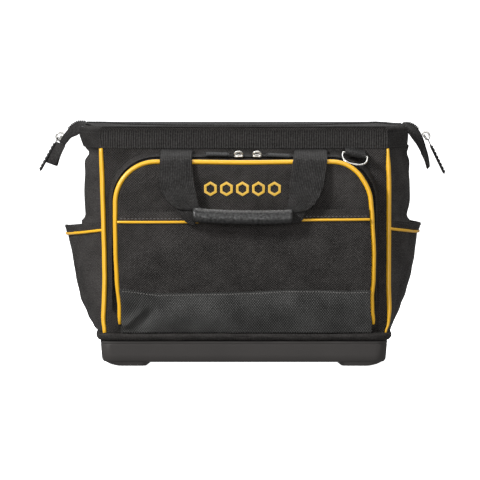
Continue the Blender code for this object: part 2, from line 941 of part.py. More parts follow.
def gusset_rise():
    """Unit vector up the slope of the gusset's top, from its front to the wall."""
    return (gusset_point(0.5, 1.0, 0.0) - gusset_point(0.5, 0.0, 0.0)).normalized()


def chain_shares():
    """Shares of the arch along the chain, which ends at the same height on both sides."""
    shoulder = pocket_top - pocket_corner_radius
    low = (chain_foot_height - fabric_foot) / (shoulder - fabric_foot) / 5
    middle = [share for share in arch_shares(6, 6, 4) if low < share < 1 - low]
    return [low] + middle + [1 - low]


def build_pocket(bag):
    around = arch_shares(6, 6, 4)
    shell(
        "pocket_gusset",
        lambda share, depth: gusset_point(share, depth, 0.0),
        lambda share, depth: gusset_point(share, depth, pocket_fabric),
        around, steps(4), bag, fabric(),
    )
    across = [2 * share - 1 for share in steps(6)]
    panel_top = pocket_top - arch_piping_radius - clearance
    shoulder = (pocket_top - pocket_corner_radius - fabric_foot) / (panel_top - fabric_foot)
    rows = [share * shoulder for share in steps(4)]
    for share in steps(6)[1:]:
        rows.append(mix(shoulder, 1.0, math.sin(share * math.pi / 2)))
    shell(
        "pocket_front_panel",
        lambda u, v: pocket_panel_point(u, v, 0.0),
        lambda u, v: pocket_panel_point(u, v, pocket_fabric),
        across, rows, bag, fabric(),
    )
    line = [arch_line(share) for share in arch_shares(8, 8, 6)]
    tube("pocket_arch_piping", line, arch_piping_radius, bag, yellow())
    shell(
        "kick_panel",
        lambda u, v: kick_point(u, v, 0.0),
        lambda u, v: kick_point(u, v, kick_thickness),
        (-1.0, 0.0, 1.0), steps(3), bag, fabric(),
    )
    shell(
        "slip_pocket_panel",
        lambda u, v: slip_point(u, v, 0.0),
        lambda u, v: slip_point(u, v, slip_thickness),
        slack_column_shares, slack_row_shares, bag, fabric(),
    )
    line = [hem_line(u) for u in slack_column_shares]
    tube("slip_hem_piping", line, hem_piping_radius, bag, yellow(), 1)
    shell(
        "pocket_zip_chain",
        lambda share, side: chain_point(share, side, chain_seat_gap + chain_thickness),
        lambda share, side: chain_point(share, side, chain_seat_gap),
        chain_shares(), (-1.0, 1.0), bag, nickel(),
    )
    sides = (("left", LEFT), ("right", RIGHT))
    for name, side in sides:
        top = chain_point(0.5, 0.0, chain_seat_gap + chain_thickness)
        x = pocket_pair_offset + side * pocket_slider_x
        seat = Vector((x, top.y, top.z))
        outward = Vector((float(side), 0.0, 0.0))
        rise = gusset_rise()
        up = Vector((0.0, -rise.z, rise.y))
        slide = empty(f"{name}_pocket_slide", seat, bag)
        slider(f"{name}_pocket_slider", seat, outward, up, pocket_slider_length, slide)
        pivot = pull_pivot(seat, outward, up, pocket_slider_length)
        hinge = empty(f"{name}_pocket_pull_hinge", pivot, slide)
        lying = outward * math.cos(pocket_pull_rise) + up * math.sin(pocket_pull_rise)
        pull(f"{name}_pocket_pull", pivot, lying, rise, pocket_pull_length, hinge)


# Side pockets


def rim_height(share):
    return rim_corner_height - rim_sag * (1 - share * share)


def side_pocket_point(side, t, rise, inset):
    """Point of a side pocket: t runs from the front corner to the back one."""
    share = t * side_pocket_edge_share
    z = mix(fabric_foot, rim_height(t), rise)
    swell = rise * mix(side_pocket_belly_share, 1.0, rise)
    reach = mix(side_pocket_low_reach, side_pocket_reach, swell)
    stand = side_profile(t, side_pocket_roundness)
    lie = side_x(z, share) + side_pocket_seam_gap + side_pocket_fabric
    x = max(lie, corner_x(z) + reach * stand) - inset
    half = wall_face_y(z) - wall_thickness - clearance
    return Vector((side * x, share * half, z))


def rim_piping_point(side, t):
    """Middle of the piping on the outside of a side pocket, below its rim."""
    height = rim_height(t) - fabric_foot
    rise = (height - rim_piping_drop) / height
    before = side_pocket_point(side, t - rim_step_share, rise, 0.0)
    after = side_pocket_point(side, t + rim_step_share, rise, 0.0)
    run = (after - before).normalized()
    out = Vector((side * run.y, -side * run.x, 0.0))
    seat = side_pocket_point(side, t, rise, 0.0)
    return seat + out * (rim_piping_radius + clearance)


def build_side_pockets(bag):
    shares = [math.sin((share - 0.5) * math.pi) for share in steps(16)]
    for name, side in (("left", LEFT), ("right", RIGHT)):
        shell(
            f"{name}_side_pocket",
            lambda t, v, side=side: side_pocket_point(side, t, v, 0.0),
            lambda t, v, side=side: side_pocket_point(side, t, v, side_pocket_fabric),
            shares, steps(6), bag, fabric(),
        )
        reach = rim_piping_reach_share
        line = [rim_piping_point(side, (2 * share - 1) * reach) for share in steps(16)]
        tube(f"{name}_side_pocket_piping", line, rim_piping_radius, bag, yellow(), 1)


# Back of the bag and its inside


def organiser_point(u, share, inset):
    z = mix(organiser_bottom, organiser_top, share)
    gap = clearance + organiser_gap * slack(u, share)
    y = wall_face_y(z) - wall_thickness - gap - organiser_fabric + inset
    return Vector((u * organiser_half_width, y, z))


def back_kick_point(u, share, inset):
    z = mix(fabric_foot, kick_top, share)
    y = wall_face_y(z) + clearance + kick_thickness - inset
    return Vector((u * back_kick_half_width, y, z))


def build_back(bag):
    shell(
        "back_kick_panel",
        lambda u, v: back_kick_point(u, v, 0.0),
        lambda u, v: back_kick_point(u, v, kick_thickness),
        (-1.0, 0.0, 1.0), steps(1), bag, fabric(),
    )
    shell(
        "inner_organiser",
        lambda u, v: organiser_point(u, v, 0.0),
        lambda u, v: organiser_point(u, v, organiser_fabric),
        slack_column_shares, slack_row_shares, bag, fabric(),
    )


# Handles


def handle_outline(length):
    """Right half of the webbing loop, as (x, distance below its top) points."""
    half_web = webbing_width / 2
    core = grip_height / 2 - grip_wall - clearance
    turn = length - leg_turn_height
    outlines = []
    for edge, leg, bend in (
        (leg_x + half_web, leg_outer_shares, turn_outer_shares),
        (leg_x - half_web, leg_inner_shares, turn_inner_shares),
    ):
        outline = [(edge + half_web * a, turn * b) for a, b in leg]
        outline += [(edge + half_web * a, length + core * b) for a, b in bend]
        outlines.append(outline)
    return outlines


def build_loop(name, top, down, out, length, parent):
    """Webbing loop below a top point, and the padded grip round its cross piece."""
    outside, inside = handle_outline(length)
    half = webbing_thickness / 2
    across = Vector((1.0, 0.0, 0.0))
    rail_outer = outside + [(-x, d) for x, d in reversed(outside)]
    rail_inner = inside + [(-x, d) for x, d in reversed(inside)]
    sections = []
    for (outer_x, outer_drop), (inner_x, inner_drop) in zip(rail_outer, rail_inner):
        far = top + across * outer_x + down * outer_drop
        near = top + across * inner_x + down * inner_drop
        thick = out * half
        sections.append([far - thick, far + thick, near + thick, near - thick])
    loft(f"{name}_handle_webbing", sections, parent, webbing())

    middle = top + down * length
    outer = []
    hole = []
    core = grip_height / 2 - grip_wall
    slot = webbing_thickness / 2 + clearance
    for index in range(16):
        angle = math.tau * (index + 0.5) / 16
        wide = math.copysign(abs(math.cos(angle)) ** grip_squareness, math.cos(angle))
        tall = math.copysign(abs(math.sin(angle)) ** grip_squareness, math.sin(angle))
        outer.append(out * grip_depth / 2 * wide + down * grip_height / 2 * tall)
        side = math.copysign(min(slot, abs(wide) * core), wide)
        rise = math.copysign(min(core, abs(tall) * core * grip_core_squareness), tall)
        hole.append(out * side + down * rise)
    sections = []
    shares = (1.0, grip_end_share, 0.0, -grip_end_share, -1.0)
    taper = (grip_taper_share, 1.0, 1.0, 1.0, grip_taper_share)
    for share, size in zip(shares, taper):
        centre = middle + across * share * grip_half_length
        sections.append([centre + point * size for point in outer])
    for share in reversed(shares):
        centre = middle + across * share * grip_half_length
        sections.append([centre + point for point in hole])
    loft(f"{name}_handle_grip", sections, parent, leatherette(), closed=True)


def front_grip_y():
    """Distance of the front grip's middle from the bag's middle."""
    face = -hem_line(0.0).y + hem_piping_radius
    return face + grip_stand_off + grip_depth / 2


def front_strap_pivot():
    return Vector((0.0, -strap_root_y, strap_root_z))


def front_fold_pivot():
    return Vector((0.0, -strap_fold_y, strap_fold_z))


def back_grip_y():
    return wall_face_y(back_grip_z) + grip_stand_off + grip_depth / 2


def back_strap_pivot():
    return Vector((0.0, strap_root_y, strap_root_z))


def build_handles(bag):
    root = front_strap_pivot()
    fold = front_fold_pivot()
    forward = (fold - root).normalized()
    up = Vector((0.0, forward.z, -forward.y))
    lift = empty("front_strap_hinge", root, bag)
    half = webbing_thickness / 2
    for name, side in (("left", LEFT), ("right", RIGHT)):
        sections = []
        for point in (root, fold - forward * strap_joint_gap):
            section = []
            for x, rise in ((-1, -1), (1, -1), (1, 1), (-1, 1)):
                shift = Vector((side * leg_x + x * webbing_width / 2, 0.0, 0.0))
                section.append(point + shift + up * rise * half)
            sections.append(section)
        loft(f"{name}_strap_root", sections, lift, webbing())
    swing = empty("front_handle_hinge", fold, lift)
    grip = Vector((0.0, -front_grip_y(), grip_z))
    down = (grip - fold).normalized()
    out = Vector((0.0, down.z, -down.y))
    length = (grip - fold).length
    start = strap_joint_gap
    build_loop("front", fold + down * start, down, out, length - start, swing)

    pivot = back_strap_pivot()
    swing = empty("back_handle_hinge", pivot, bag)
    grip = Vector((0.0, back_grip_y(), back_grip_z))
    down = (grip - pivot).normalized()
    out = Vector((0.0, -down.z, down.y))
    build_loop("back", pivot, down, out, (grip - pivot).length, swing)


# D-rings


def ring_wrap():
    """Outer radius of the webbing folded round a ring's bar."""
    return ring_wire_radius + ring_bore_clearance + ring_tab_thickness


def ring_pivot(end):
    """Middle of a ring's bar: the front one lies on the pocket, the back one on the wall."""
    if end == FRONT:
        return Vector((ring_x, -front_ring_y, front_ring_z))
    return Vector((-ring_x, wall_face_y(back_ring_z) + clearance + ring_wrap(), back_ring_z))


def ring_axis(end):
    roll = front_ring_roll if end == FRONT else 0.0
    return Vector((math.cos(roll), 0.0, -math.sin(roll)))


def ring_down(end):
    """Direction from the bar to the ring's round end."""
    lean = front_ring_lean if end == FRONT else back_ring_lean
    axis = ring_axis(end)
    drop = Vector((axis.z, 0.0, -axis.x))
    return drop * math.cos(lean) + Vector((0.0, end * math.sin(lean), 0.0))


def ring_line(pivot, axis, down, corner_steps=4):
    """Middle line of a D-ring, from its straight bar round its two corners."""
    half = ring_width / 2 - ring_wire_radius
    length = ring_length - 2 * ring_wire_radius
    corner = ring_corner_radius
    points = [(-half, 0.0), (half, 0.0)]
    for side, start in ((1, 0.0), (-1, 0.25)):
        for share in steps(corner_steps):
            angle = math.tau * (start + share / 4)
            x = side * (half - corner) + corner * math.cos(angle)
            points.append((x, length - corner + corner * math.sin(angle)))
    return [pivot + axis * x + down * distance for x, distance in points]


def build_rings(bag):
    bore = ring_wire_radius + ring_bore_clearance
    wrap = ring_wrap()
    for name, end in (("front", FRONT), ("back", BACK)):
        pivot = ring_pivot(end)
        axis = ring_axis(end)
        hinge = empty(f"{name}_ring_hinge", pivot, bag)
        line = ring_line(pivot, axis, ring_down(end))
        tube(f"{name}_d_ring", line, ring_wire_radius, hinge, nickel(), 2, True)

        upright = Vector((-axis.z, 0.0, axis.x))
        level = Vector((0.0, 1.0, 0.0))
        angles = [math.tau * (index + 0.5) / 12 for index in range(12)]
        circle = [level * math.cos(angle) + upright * math.sin(angle) for angle in angles]
        outer = [pivot + point * wrap for point in circle]
        inner = [pivot + point * bore for point in circle]
        side = axis * ring_tab_width / 2
        tab = ring_prism(f"{name}_ring_tab", outer, inner, side, bag, webbing())

        seam_z = band_bottom - clearance
        seam_y = wall_face_y(seam_z) + clearance
        seam = Vector((pivot.x, end * seam_y, seam_z))
        thick = ring_tab_thickness
        if end == FRONT:
            start = (seam, seam - Vector((0.0, 0.0, thick)))
            toward = upright
        else:
            start = (seam, seam + Vector((0.0, thick, 0.0)))
            toward = -level
        finish = (pivot + toward * wrap, pivot + toward * (bore + thick * ring_seam_share))
        sections = []
        for points, half in ((start, Vector((ring_tab_width / 2, 0.0, 0.0))), (finish, side)):
            first, second = points
            sections.append([first - half, first + half, second + half, second - half])
        guide = loft(f"{name}_tab_guide", sections, bag, webbing())
        join(tab, guide, "UNION")


def main():
    clear_scene()
    bag = empty("bag", (0.0, 0.0, 0.0))
    bag.location = (0.0, depth_shift, 0.0)
    build_base(bag)
    build_walls(bag)
    build_mouth(bag)
    build_flaps(bag)
    build_tails(bag)
    build_pocket(bag)
    build_side_pockets(bag)
    build_back(bag)
    build_handles(bag)
    build_rings(bag)


main()
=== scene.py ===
"""Looks of the tool bag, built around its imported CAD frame. Metres, +Z up, front to -Y."""

import math
from functools import partial

import bmesh
import bpy
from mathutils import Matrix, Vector, noise


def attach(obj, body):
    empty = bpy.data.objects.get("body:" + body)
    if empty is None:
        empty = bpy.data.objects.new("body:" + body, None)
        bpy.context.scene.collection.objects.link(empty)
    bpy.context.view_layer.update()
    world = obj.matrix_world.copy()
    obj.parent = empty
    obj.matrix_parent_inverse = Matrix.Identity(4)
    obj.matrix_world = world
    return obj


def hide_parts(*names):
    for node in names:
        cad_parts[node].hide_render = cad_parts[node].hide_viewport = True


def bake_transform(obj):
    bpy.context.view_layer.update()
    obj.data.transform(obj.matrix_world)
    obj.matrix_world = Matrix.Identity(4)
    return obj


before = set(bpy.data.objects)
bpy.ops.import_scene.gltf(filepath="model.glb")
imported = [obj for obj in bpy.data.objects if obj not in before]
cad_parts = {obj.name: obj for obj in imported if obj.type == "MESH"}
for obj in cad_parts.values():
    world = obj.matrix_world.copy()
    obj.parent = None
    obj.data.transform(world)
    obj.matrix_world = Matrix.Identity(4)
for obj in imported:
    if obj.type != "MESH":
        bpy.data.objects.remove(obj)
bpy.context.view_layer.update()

# Places below are measured from the middle of the base, as in the CAD source
SHIFT = 0.0170
FRONT = -1
BACK = 1
SIDES = (("left", -1), ("right", 1))
ENDS = (("front", FRONT), ("back", BACK))
FORWARD = Vector((0, -1, 0))
UPWARD = Vector((0, 0, 1))

# Heights and sizes that the frame's source has
BASE_HALF = 0.174
BASE_DEEP = 0.1075
BASE_CORNER = 0.014
BIND_LOW = 0.0313
BIND_TOP = 0.0412
FOOT_Z = 0.0415
BAND_LOW = 0.2648
WALL_FOOT_Y = 0.1032
WALL_TOP_Y = 0.0760
SIDE_FOOT_X = 0.1697
SIDE_TOP_X = 0.1730
SIDE_BULGE = 0.0240
BULGE_TOP = 0.170
POCKET_HALF = 0.1570
POCKET_TOP = 0.2504
POCKET_CORNER = 0.050
POCKET_FOOT_DEPTH = 0.0053
POCKET_DEPTH = 0.0400
KICK_TOP = 0.0915
HEM_Z = 0.1800
STRAP_THICK = 0.0021


def clamp01(value):
    return min(1.0, max(0.0, value))


def smooth(value):
    share = clamp01(value)
    return share * share * (3 - 2 * share)


def climb(value, start, run):
    """Softly from 0 to 1 as a value goes past start, over a run."""
    return smooth((value - start) / run)


def fade(value, end, run):
    """Softly from 1 to 0 as a value comes up to end, over a run."""
    return smooth((end - value) / run)


def mix(low, high, share):
    return low + (high - low) * share


def steps(count, low=0.0, high=1.0):
    return [mix(low, high, index / count) for index in range(count + 1)]


def curve(table, x):
    """Value at x on a smooth line through (x, value) pairs in rising order."""
    if x <= table[0][0]:
        return table[0][1]
    for (x0, v0), (x1, v1) in zip(table, table[1:]):
        if x <= x1:
            share = (x - x0) / (x1 - x0)
            return mix(v0, v1, smooth(share) * 0.5 + share * 0.5)
    return table[-1][1]


def rough(x, y, z, scale, seed=0.0):
    """Soft noise from -1 to 1 at a place, with bumps about scale wide."""
    return noise.noise(Vector((x / scale + seed, y / scale - seed, z / scale + 2 * seed)))


def bell(distance, width):
    return math.exp(-(distance / width) ** 2)


# Shapes of the bag, as in the CAD source


def wall_y(z):
    return mix(WALL_FOOT_Y, WALL_TOP_Y, clamp01((z - BIND_TOP) / (BAND_LOW - BIND_TOP)))


def corner_x(z):
    return mix(SIDE_FOOT_X, SIDE_TOP_X, climb(z, BIND_TOP, 0.020))


def side_x(z, t):
    bulge = SIDE_BULGE * climb(z, BIND_TOP, BULGE_TOP - BIND_TOP)
    return corner_x(z) + bulge * (1 - abs(t) ** 1.7)


def pocket_y(z):
    rise = clamp01((z - FOOT_Z) / (POCKET_TOP - FOOT_Z))
    return wall_y(z) + mix(POCKET_FOOT_DEPTH, POCKET_DEPTH, 1 - (1 - rise) ** 2)


# Materials


class Paint:
    """A material whose nodes are added one by one, over UV or Object coordinates."""

    def __init__(self, name, colour, roughness, metallic=0.0, space="UV", **sockets):
        self.material = bpy.data.materials.new(name)
        self.material.use_nodes = True
        self.tree = self.material.node_tree
        self.shader = next(n for n in self.tree.nodes if n.type == "BSDF_PRINCIPLED")
        sockets.update(Base_Color=(*colour, 1.0), Roughness=roughness, Metallic=metallic)
        for socket, value in sockets.items():
            self.shader.inputs[socket.replace("_", " ")].default_value = value
        self.colour = colour
        self.height = None
        self.where = self.node("ShaderNodeTexCoord").outputs[space]

    def node(self, kind):
        return self.tree.nodes.new(kind)

    def join(self, source, target):
        if isinstance(source, bpy.types.NodeSocket):
            self.tree.links.new(source, target)
        else:
            target.default_value = source

    def math(self, operation, first, second=0.0):
        node = self.node("ShaderNodeMath")
        node.operation = operation
        self.join(first, node.inputs[0])
        self.join(second, node.inputs[1])
        return node.outputs[0]

    def weigh(self, *pairs):
        """Sum of shares, each times its weight."""
        parts = [self.math("MULTIPLY", share, weight) for share, weight in pairs]
        total = parts[0]
        for part in parts[1:]:
            total = self.math("ADD", total, part)
        return total

    def split(self):
        node = self.node("ShaderNodeSeparateXYZ")
        self.join(self.where, node.inputs[0])
        return node.outputs[0], node.outputs[1]

    def cloud(self, size, detail=2.0):
        """Noise from 0 to 1 with features about size metres wide."""
        node = self.node("ShaderNodeTexNoise")
        self.join(self.where, node.inputs["Vector"])
        node.inputs["Scale"].default_value = 1 / size
        node.inputs["Detail"].default_value = detail
        return node.outputs[0]

    def remap(self, share, source=(0.0, 1.0), target=(0.0, 1.0)):
        node = self.node("ShaderNodeMapRange")
        for value, socket in zip((share, *source, *target), node.inputs):
            self.join(value, socket)
        return node.outputs[0]

    def stretch(self, share, low, high):
        """A share spread so that low becomes 0 and high becomes 1."""
        return self.remap(share, (low, high))

    def glint(self, share, low, high):
        """Strength of the surface's shine by a share."""
        self.join(self.remap(share, target=(low, high)), self.shader.inputs["Specular IOR Level"])

    def gloss(self, share, low, high):
        """Roughness by a share."""
        self.join(self.remap(share, target=(low, high)), self.shader.inputs["Roughness"])

    def raise_by(self, height, distance, strength=1.0):
        """Add a height from 0 to 1, distance metres tall, to the surface's bump."""
        node = self.node("ShaderNodeBump")
        node.inputs["Strength"].default_value = strength
        node.inputs["Distance"].default_value = distance
        self.join(height, node.inputs["Height"])
        if self.height is not None:
            self.join(self.height, node.inputs["Normal"])
        self.height = node.outputs[0]
        self.join(self.height, self.shader.inputs["Normal"])

    def shade(self, share, low, high):
        """Colour by a share, from low times the paint's own colour to high times it."""
        node = self.node("ShaderNodeMix")
        node.data_type = "RGBA"
        self.join(share, node.inputs[0])
        node.inputs[6].default_value = (*times(self.colour, low), 1.0)
        node.inputs[7].default_value = (*times(self.colour, high), 1.0)
        self.join(node.outputs[2], self.shader.inputs["Base Color"])


def times(colour, factor):
    return tuple(min(1.0, value * factor) for value in colour)


def wave(paint, along, pitch, power=1.0):
    """Rounded ribs from 0 to 1 across a coordinate in metres."""
    turn = paint.math("MULTIPLY", along, math.pi / pitch)
    height = paint.math("ABSOLUTE", paint.math("SINE", turn))
    return height if power == 1.0 else paint.math("POWER", height, power)


def crossed(paint, slope, pitch):
    """Diamonds from 0 to 1 where two slanted sets of ribs cross."""
    u, v = paint.split()
    if slope != 1.0:
        v = paint.math("MULTIPLY", v, slope)
    first = wave(paint, paint.math("ADD", u, v), pitch)
    second = wave(paint, paint.math("SUBTRACT", u, v), pitch)
    return paint.math("MULTIPLY", first, second)


def cloth(name, colour, pitch=0.0031, depth=0.0008):
    """Woven polyester: a fine basket weave, specks of sheen and soft unevenness."""
    paint = Paint(name, colour, 0.8)
    threads = crossed(paint, 1.0, pitch)
    broad = paint.cloud(0.040, 3.0)
    patch = paint.stretch(broad, 0.32, 0.68)
    cloudy = paint.stretch(paint.cloud(0.011), 0.32, 0.68)
    speck = paint.stretch(paint.cloud(0.0017), 0.36, 0.66)
    tone = paint.weigh((threads, 0.60), (speck, 0.24), (patch, 0.20), (cloudy, 0.10))
    paint.shade(tone, 0.0, 3.1)
    paint.glint(tone, 0.0, 0.34)
    paint.gloss(speck, 0.85, 0.60)
    paint.raise_by(broad, 0.0040, 0.9)
    paint.raise_by(cloudy, 0.0006, 0.7)
    paint.raise_by(threads, depth, 0.9)
    return paint.material


def webbing_cloth(name, colour, rib, cross, swap=False, low=0.35, high=2.3, ribbed=0.50):
    """Webbing: ribs across its width and fine threads between them."""
    paint = Paint(name, colour, 0.75, Specular_IOR_Level=0.25, Sheen_Weight=0.03, Sheen_Roughness=0.45)
    u, v = paint.split()
    if swap:
        u, v = v, u
    ribs = wave(paint, u, rib, 0.9)
    fine = wave(paint, v, cross, 0.8)
    grain = paint.stretch(paint.cloud(0.0024), 0.34, 0.66)
    height = paint.math("MULTIPLY", ribs, paint.math("ADD", paint.math("MULTIPLY", fine, 0.45), 0.55))
    patch = paint.stretch(paint.cloud(0.018, 3.0), 0.30, 0.70)
    tone = paint.weigh((height, ribbed), (grain, 0.20), (patch, 0.80 - ribbed))
    paint.shade(tone, low, high)
    paint.glint(tone, 0.02, 0.50)
    paint.gloss(grain, 0.85, 0.60)
    paint.raise_by(patch, 0.0008, 0.6)
    paint.raise_by(height, 0.0006)
    return paint.material


def embossed(name, colour):
    """Coated cloth pressed with small diamonds."""
    paint = Paint(name, colour, 0.6, Specular_IOR_Level=0.26)
    diamonds = crossed(paint, 0.80, 0.0030)
    broad = paint.cloud(0.05)
    grain = paint.cloud(0.0012)
    patch = paint.stretch(broad, 0.30, 0.70)
    tone = paint.weigh((diamonds, 0.75), (patch, 0.45))
    paint.shade(tone, 0.25, 2.05)
    paint.glint(tone, 0.0, 0.62)
    paint.gloss(paint.weigh((grain, 0.6), (broad, 0.4)), 0.42, 0.68)
    paint.raise_by(broad, 0.0030, 0.8)
    paint.raise_by(diamonds, 0.0007, 0.9)
    return paint.material


def grained(name, colour, roughness, grain, broad, tones, bump, strength, shine=None,
            share=1.0, shine_share=0.0, metallic=0.0, **sockets):
    """A plain solid look: broad patches of colour under a fine grain.

    grain and broad are a size and a detail. share is the patches' part in the colour and
    shine_share their part in the shine, and the grain has the rest.
    """
    paint = Paint(name, colour, roughness, metallic, "Object", **sockets)
    fine = paint.cloud(*grain)
    patches = paint.cloud(*broad)
    paint.shade(paint.weigh((fine, 1 - share), (patches, share)), *tones)
    if shine:
        paint.gloss(paint.weigh((fine, 1 - shine_share), (patches, shine_share)), *shine)
    paint.raise_by(fine, bump, strength)
    return paint.material


def moulded(name, colour, low=0.50, high=0.68):
    """Moulded plastic with a fine spark grain and faint flow marks."""
    return grained(name, colour, 0.6, (0.0007, 2.0), (0.045, 3.0), (0.85, 1.18), 0.00006, 0.8,
                   (low, high), shine_share=0.5, Specular_IOR_Level=0.28)


def metal(name, colour, low, high):
    return grained(name, colour, 0.22, (0.0009, 3.0), (0.008, 2.0), (0.86, 1.06), 0.00003, 0.6,
                   (low, high), metallic=1.0)


def thread(name, colour):
    return grained(name, colour, 0.55, (0.0006, 2.0), (0.0006, 2.0), (0.7, 1.25), 0.00008, 0.8,
                   Specular_IOR_Level=0.25, Sheen_Weight=0.04, Sheen_Roughness=0.4)


def hide(name, colour):
    """Pebbled leatherette."""
    paint = Paint(name, colour, 0.45, Specular_IOR_Level=0.38)
    cells = paint.node("ShaderNodeTexVoronoi")
    paint.join(paint.where, cells.inputs["Vector"])
    cells.inputs["Scale"].default_value = 520.0
    pebbles = paint.math("SUBTRACT", 1.0, cells.outputs["Distance"])
    broad = paint.cloud(0.012)
    speck = paint.stretch(paint.cloud(0.0014), 0.46, 0.68)
    creases = paint.stretch(paint.cloud(0.0034, 3.0), 0.36, 0.72)
    paint.shade(paint.math("MULTIPLY", pebbles, creases), 0.9, 1.7)
    paint.glint(creases, 0.25, 0.75)
    paint.gloss(pebbles, 0.46, 0.27)
    for height, distance, strength in ((broad, 0.0010, 0.7), (creases, 0.0003, 0.5),
                                       (speck, 0.0002, 0.6), (pebbles, 0.00020, 0.6)):
        paint.raise_by(height, distance, strength)
    return paint.material


def satin(name, colour):
    """Embroidery: fine parallel threads with a silky shine."""
    paint = Paint(name, colour, 0.4, Specular_IOR_Level=0.5, Sheen_Weight=0.1)
    threads = wave(paint, paint.split()[0], 0.0006)
    grain = paint.cloud(0.0010)
    paint.shade(paint.weigh((threads, 0.7), (grain, 0.3)), 0.55, 1.2)
    paint.gloss(grain, 0.34, 0.55)
    paint.raise_by(threads, 0.0002, 0.9)
    return paint.material


BLACK = (0.0155, 0.0142, 0.0135)
FABRIC = cloth("woven_fabric", times(BLACK, 1.10))
SIDE_FABRIC = cloth("side_fabric", times(BLACK, 1.34))
# Darker copy of the cloth for the band's ends, top roll and inner side: painted shade
BAND_SHADE_CLOTH = cloth("band_painted_shade", times(BLACK, 0.80))
LINING = cloth("lining", (0.016, 0.016, 0.017), 0.0009, 0.00012)
BINDING = cloth("binding_tape", times(BLACK, 0.95), 0.0010, 0.00018)
RIBBED = webbing_cloth("ribbed_band", times(BLACK, 0.52), 0.0028, 0.0016, True, 0.0, 3.6, 0.72)
WEBBING = webbing_cloth("handle_webbing", times(BLACK, 0.55), 0.0021, 0.0019)
KICK = embossed("embossed_cloth", (0.0206, 0.0203, 0.0193))
PLASTIC = moulded("moulded_base", (0.034, 0.031, 0.0295))
TAPE = webbing_cloth("zip_tape", times(BLACK, 0.5), 0.0012, 0.0009)
TEETH = moulded("zip_teeth", (0.007, 0.007, 0.007), 0.26, 0.42)
GOLD = grained("piping_yellow", (0.72, 0.385, 0.008), 0.38, (0.0018, 3.0), (0.022, 2.0), (0.82, 1.08),
               0.00010, 0.7, (0.28, 0.46), share=0.6, Specular_IOR_Level=0.5, Coat_Weight=0.08,
               Coat_Roughness=0.3)
NICKEL = metal("nickel", (0.50, 0.49, 0.465), 0.22, 0.42)
RUBBER = grained("pull_rubber", (0.0065, 0.0065, 0.0066), 0.5, (0.0008, 2.0), (0.010, 2.0), (0.8, 1.3),
                 0.00008, 0.6, (0.34, 0.55), Specular_IOR_Level=0.18)
GRIP = hide("grip_leatherette", (0.0118, 0.0116, 0.0113))
BOARD = moulded("stiff_board", (0.02, 0.02, 0.02))
STEEL = metal("spring_steel", (0.45, 0.46, 0.48), 0.3, 0.5)
GREY_THREAD = thread("grey_thread", (0.128, 0.122, 0.116))
DARK_THREAD = thread("dark_thread", (0.030, 0.029, 0.028))
SATIN = satin("gold_satin_stitch", (0.72, 0.44, 0.05))


# Pieces


def settle(obj, look, body, nodes=(), sharp=40.0):
    """Give a piece its material and shading, and place it on its body."""
    obj.data.materials.clear()
    obj.data.materials.append(look)
    obj.data.transform(obj.matrix_world)
    obj.matrix_world.identity()
    for face in obj.data.polygons:
        face.use_smooth = True
    obj.data.set_sharp_from_angle(angle=math.radians(sharp))
    if nodes:
        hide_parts(*nodes)
    if body:
        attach(obj, body)
    return obj


def make(name, mesh, look, body="root", nodes=(), sharp=40.0, recalc=True):
    """An object from a bmesh whose places are measured from the middle of the base."""
    if recalc:
        bmesh.ops.recalc_face_normals(mesh, faces=mesh.faces)
    bmesh.ops.translate(mesh, verts=mesh.verts, vec=(0.0, SHIFT, 0.0))
    data = bpy.data.meshes.new(name)
    mesh.to_mesh(data)
    mesh.free()
    obj = bpy.data.objects.new(name, data)
    bpy.context.scene.collection.objects.link(obj)
    return settle(obj, look, body, nodes, sharp)


def put_uv(mesh, face, places):
    layer = mesh.loops.layers.uv.verify()
    for loop, place in zip(face.loops, places):
        loop[layer].uv = place


def spans(points):
    """Distance along a line at each of its points."""
    out = [0.0]
    for first, second in zip(points, points[1:]):
        out.append(out[-1] + (second - first).length)
    return out


def circle(count):
    """Angles at even steps round a circle."""
    return [math.tau * k / count for k in range(count)]


def skin(mesh, rings, closed=False, span=None):
    """Faces from ring to ring, and over both ends unless closed.

    span gives the cloth's stretch under a face: from and to around it, from and to along it.
    """
    rows = [[mesh.verts.new(point) for point in ring] for ring in rings]
    for i in range(len(rows) if closed else len(rows) - 1):
        near, far = rows[i], rows[(i + 1) % len(rows)]
        for k in range(len(near)):
            n = (k + 1) % len(near)
            face = mesh.faces.new((near[k], near[n], far[n], far[k]))
            if span:
                u0, u1, v0, v1 = span(i, k)
                put_uv(mesh, face, ((u0, v0), (u1, v0), (u1, v1), (u0, v1)))
    if not closed:
        mesh.faces.new(rows[0][::-1])
        mesh.faces.new(rows[-1])


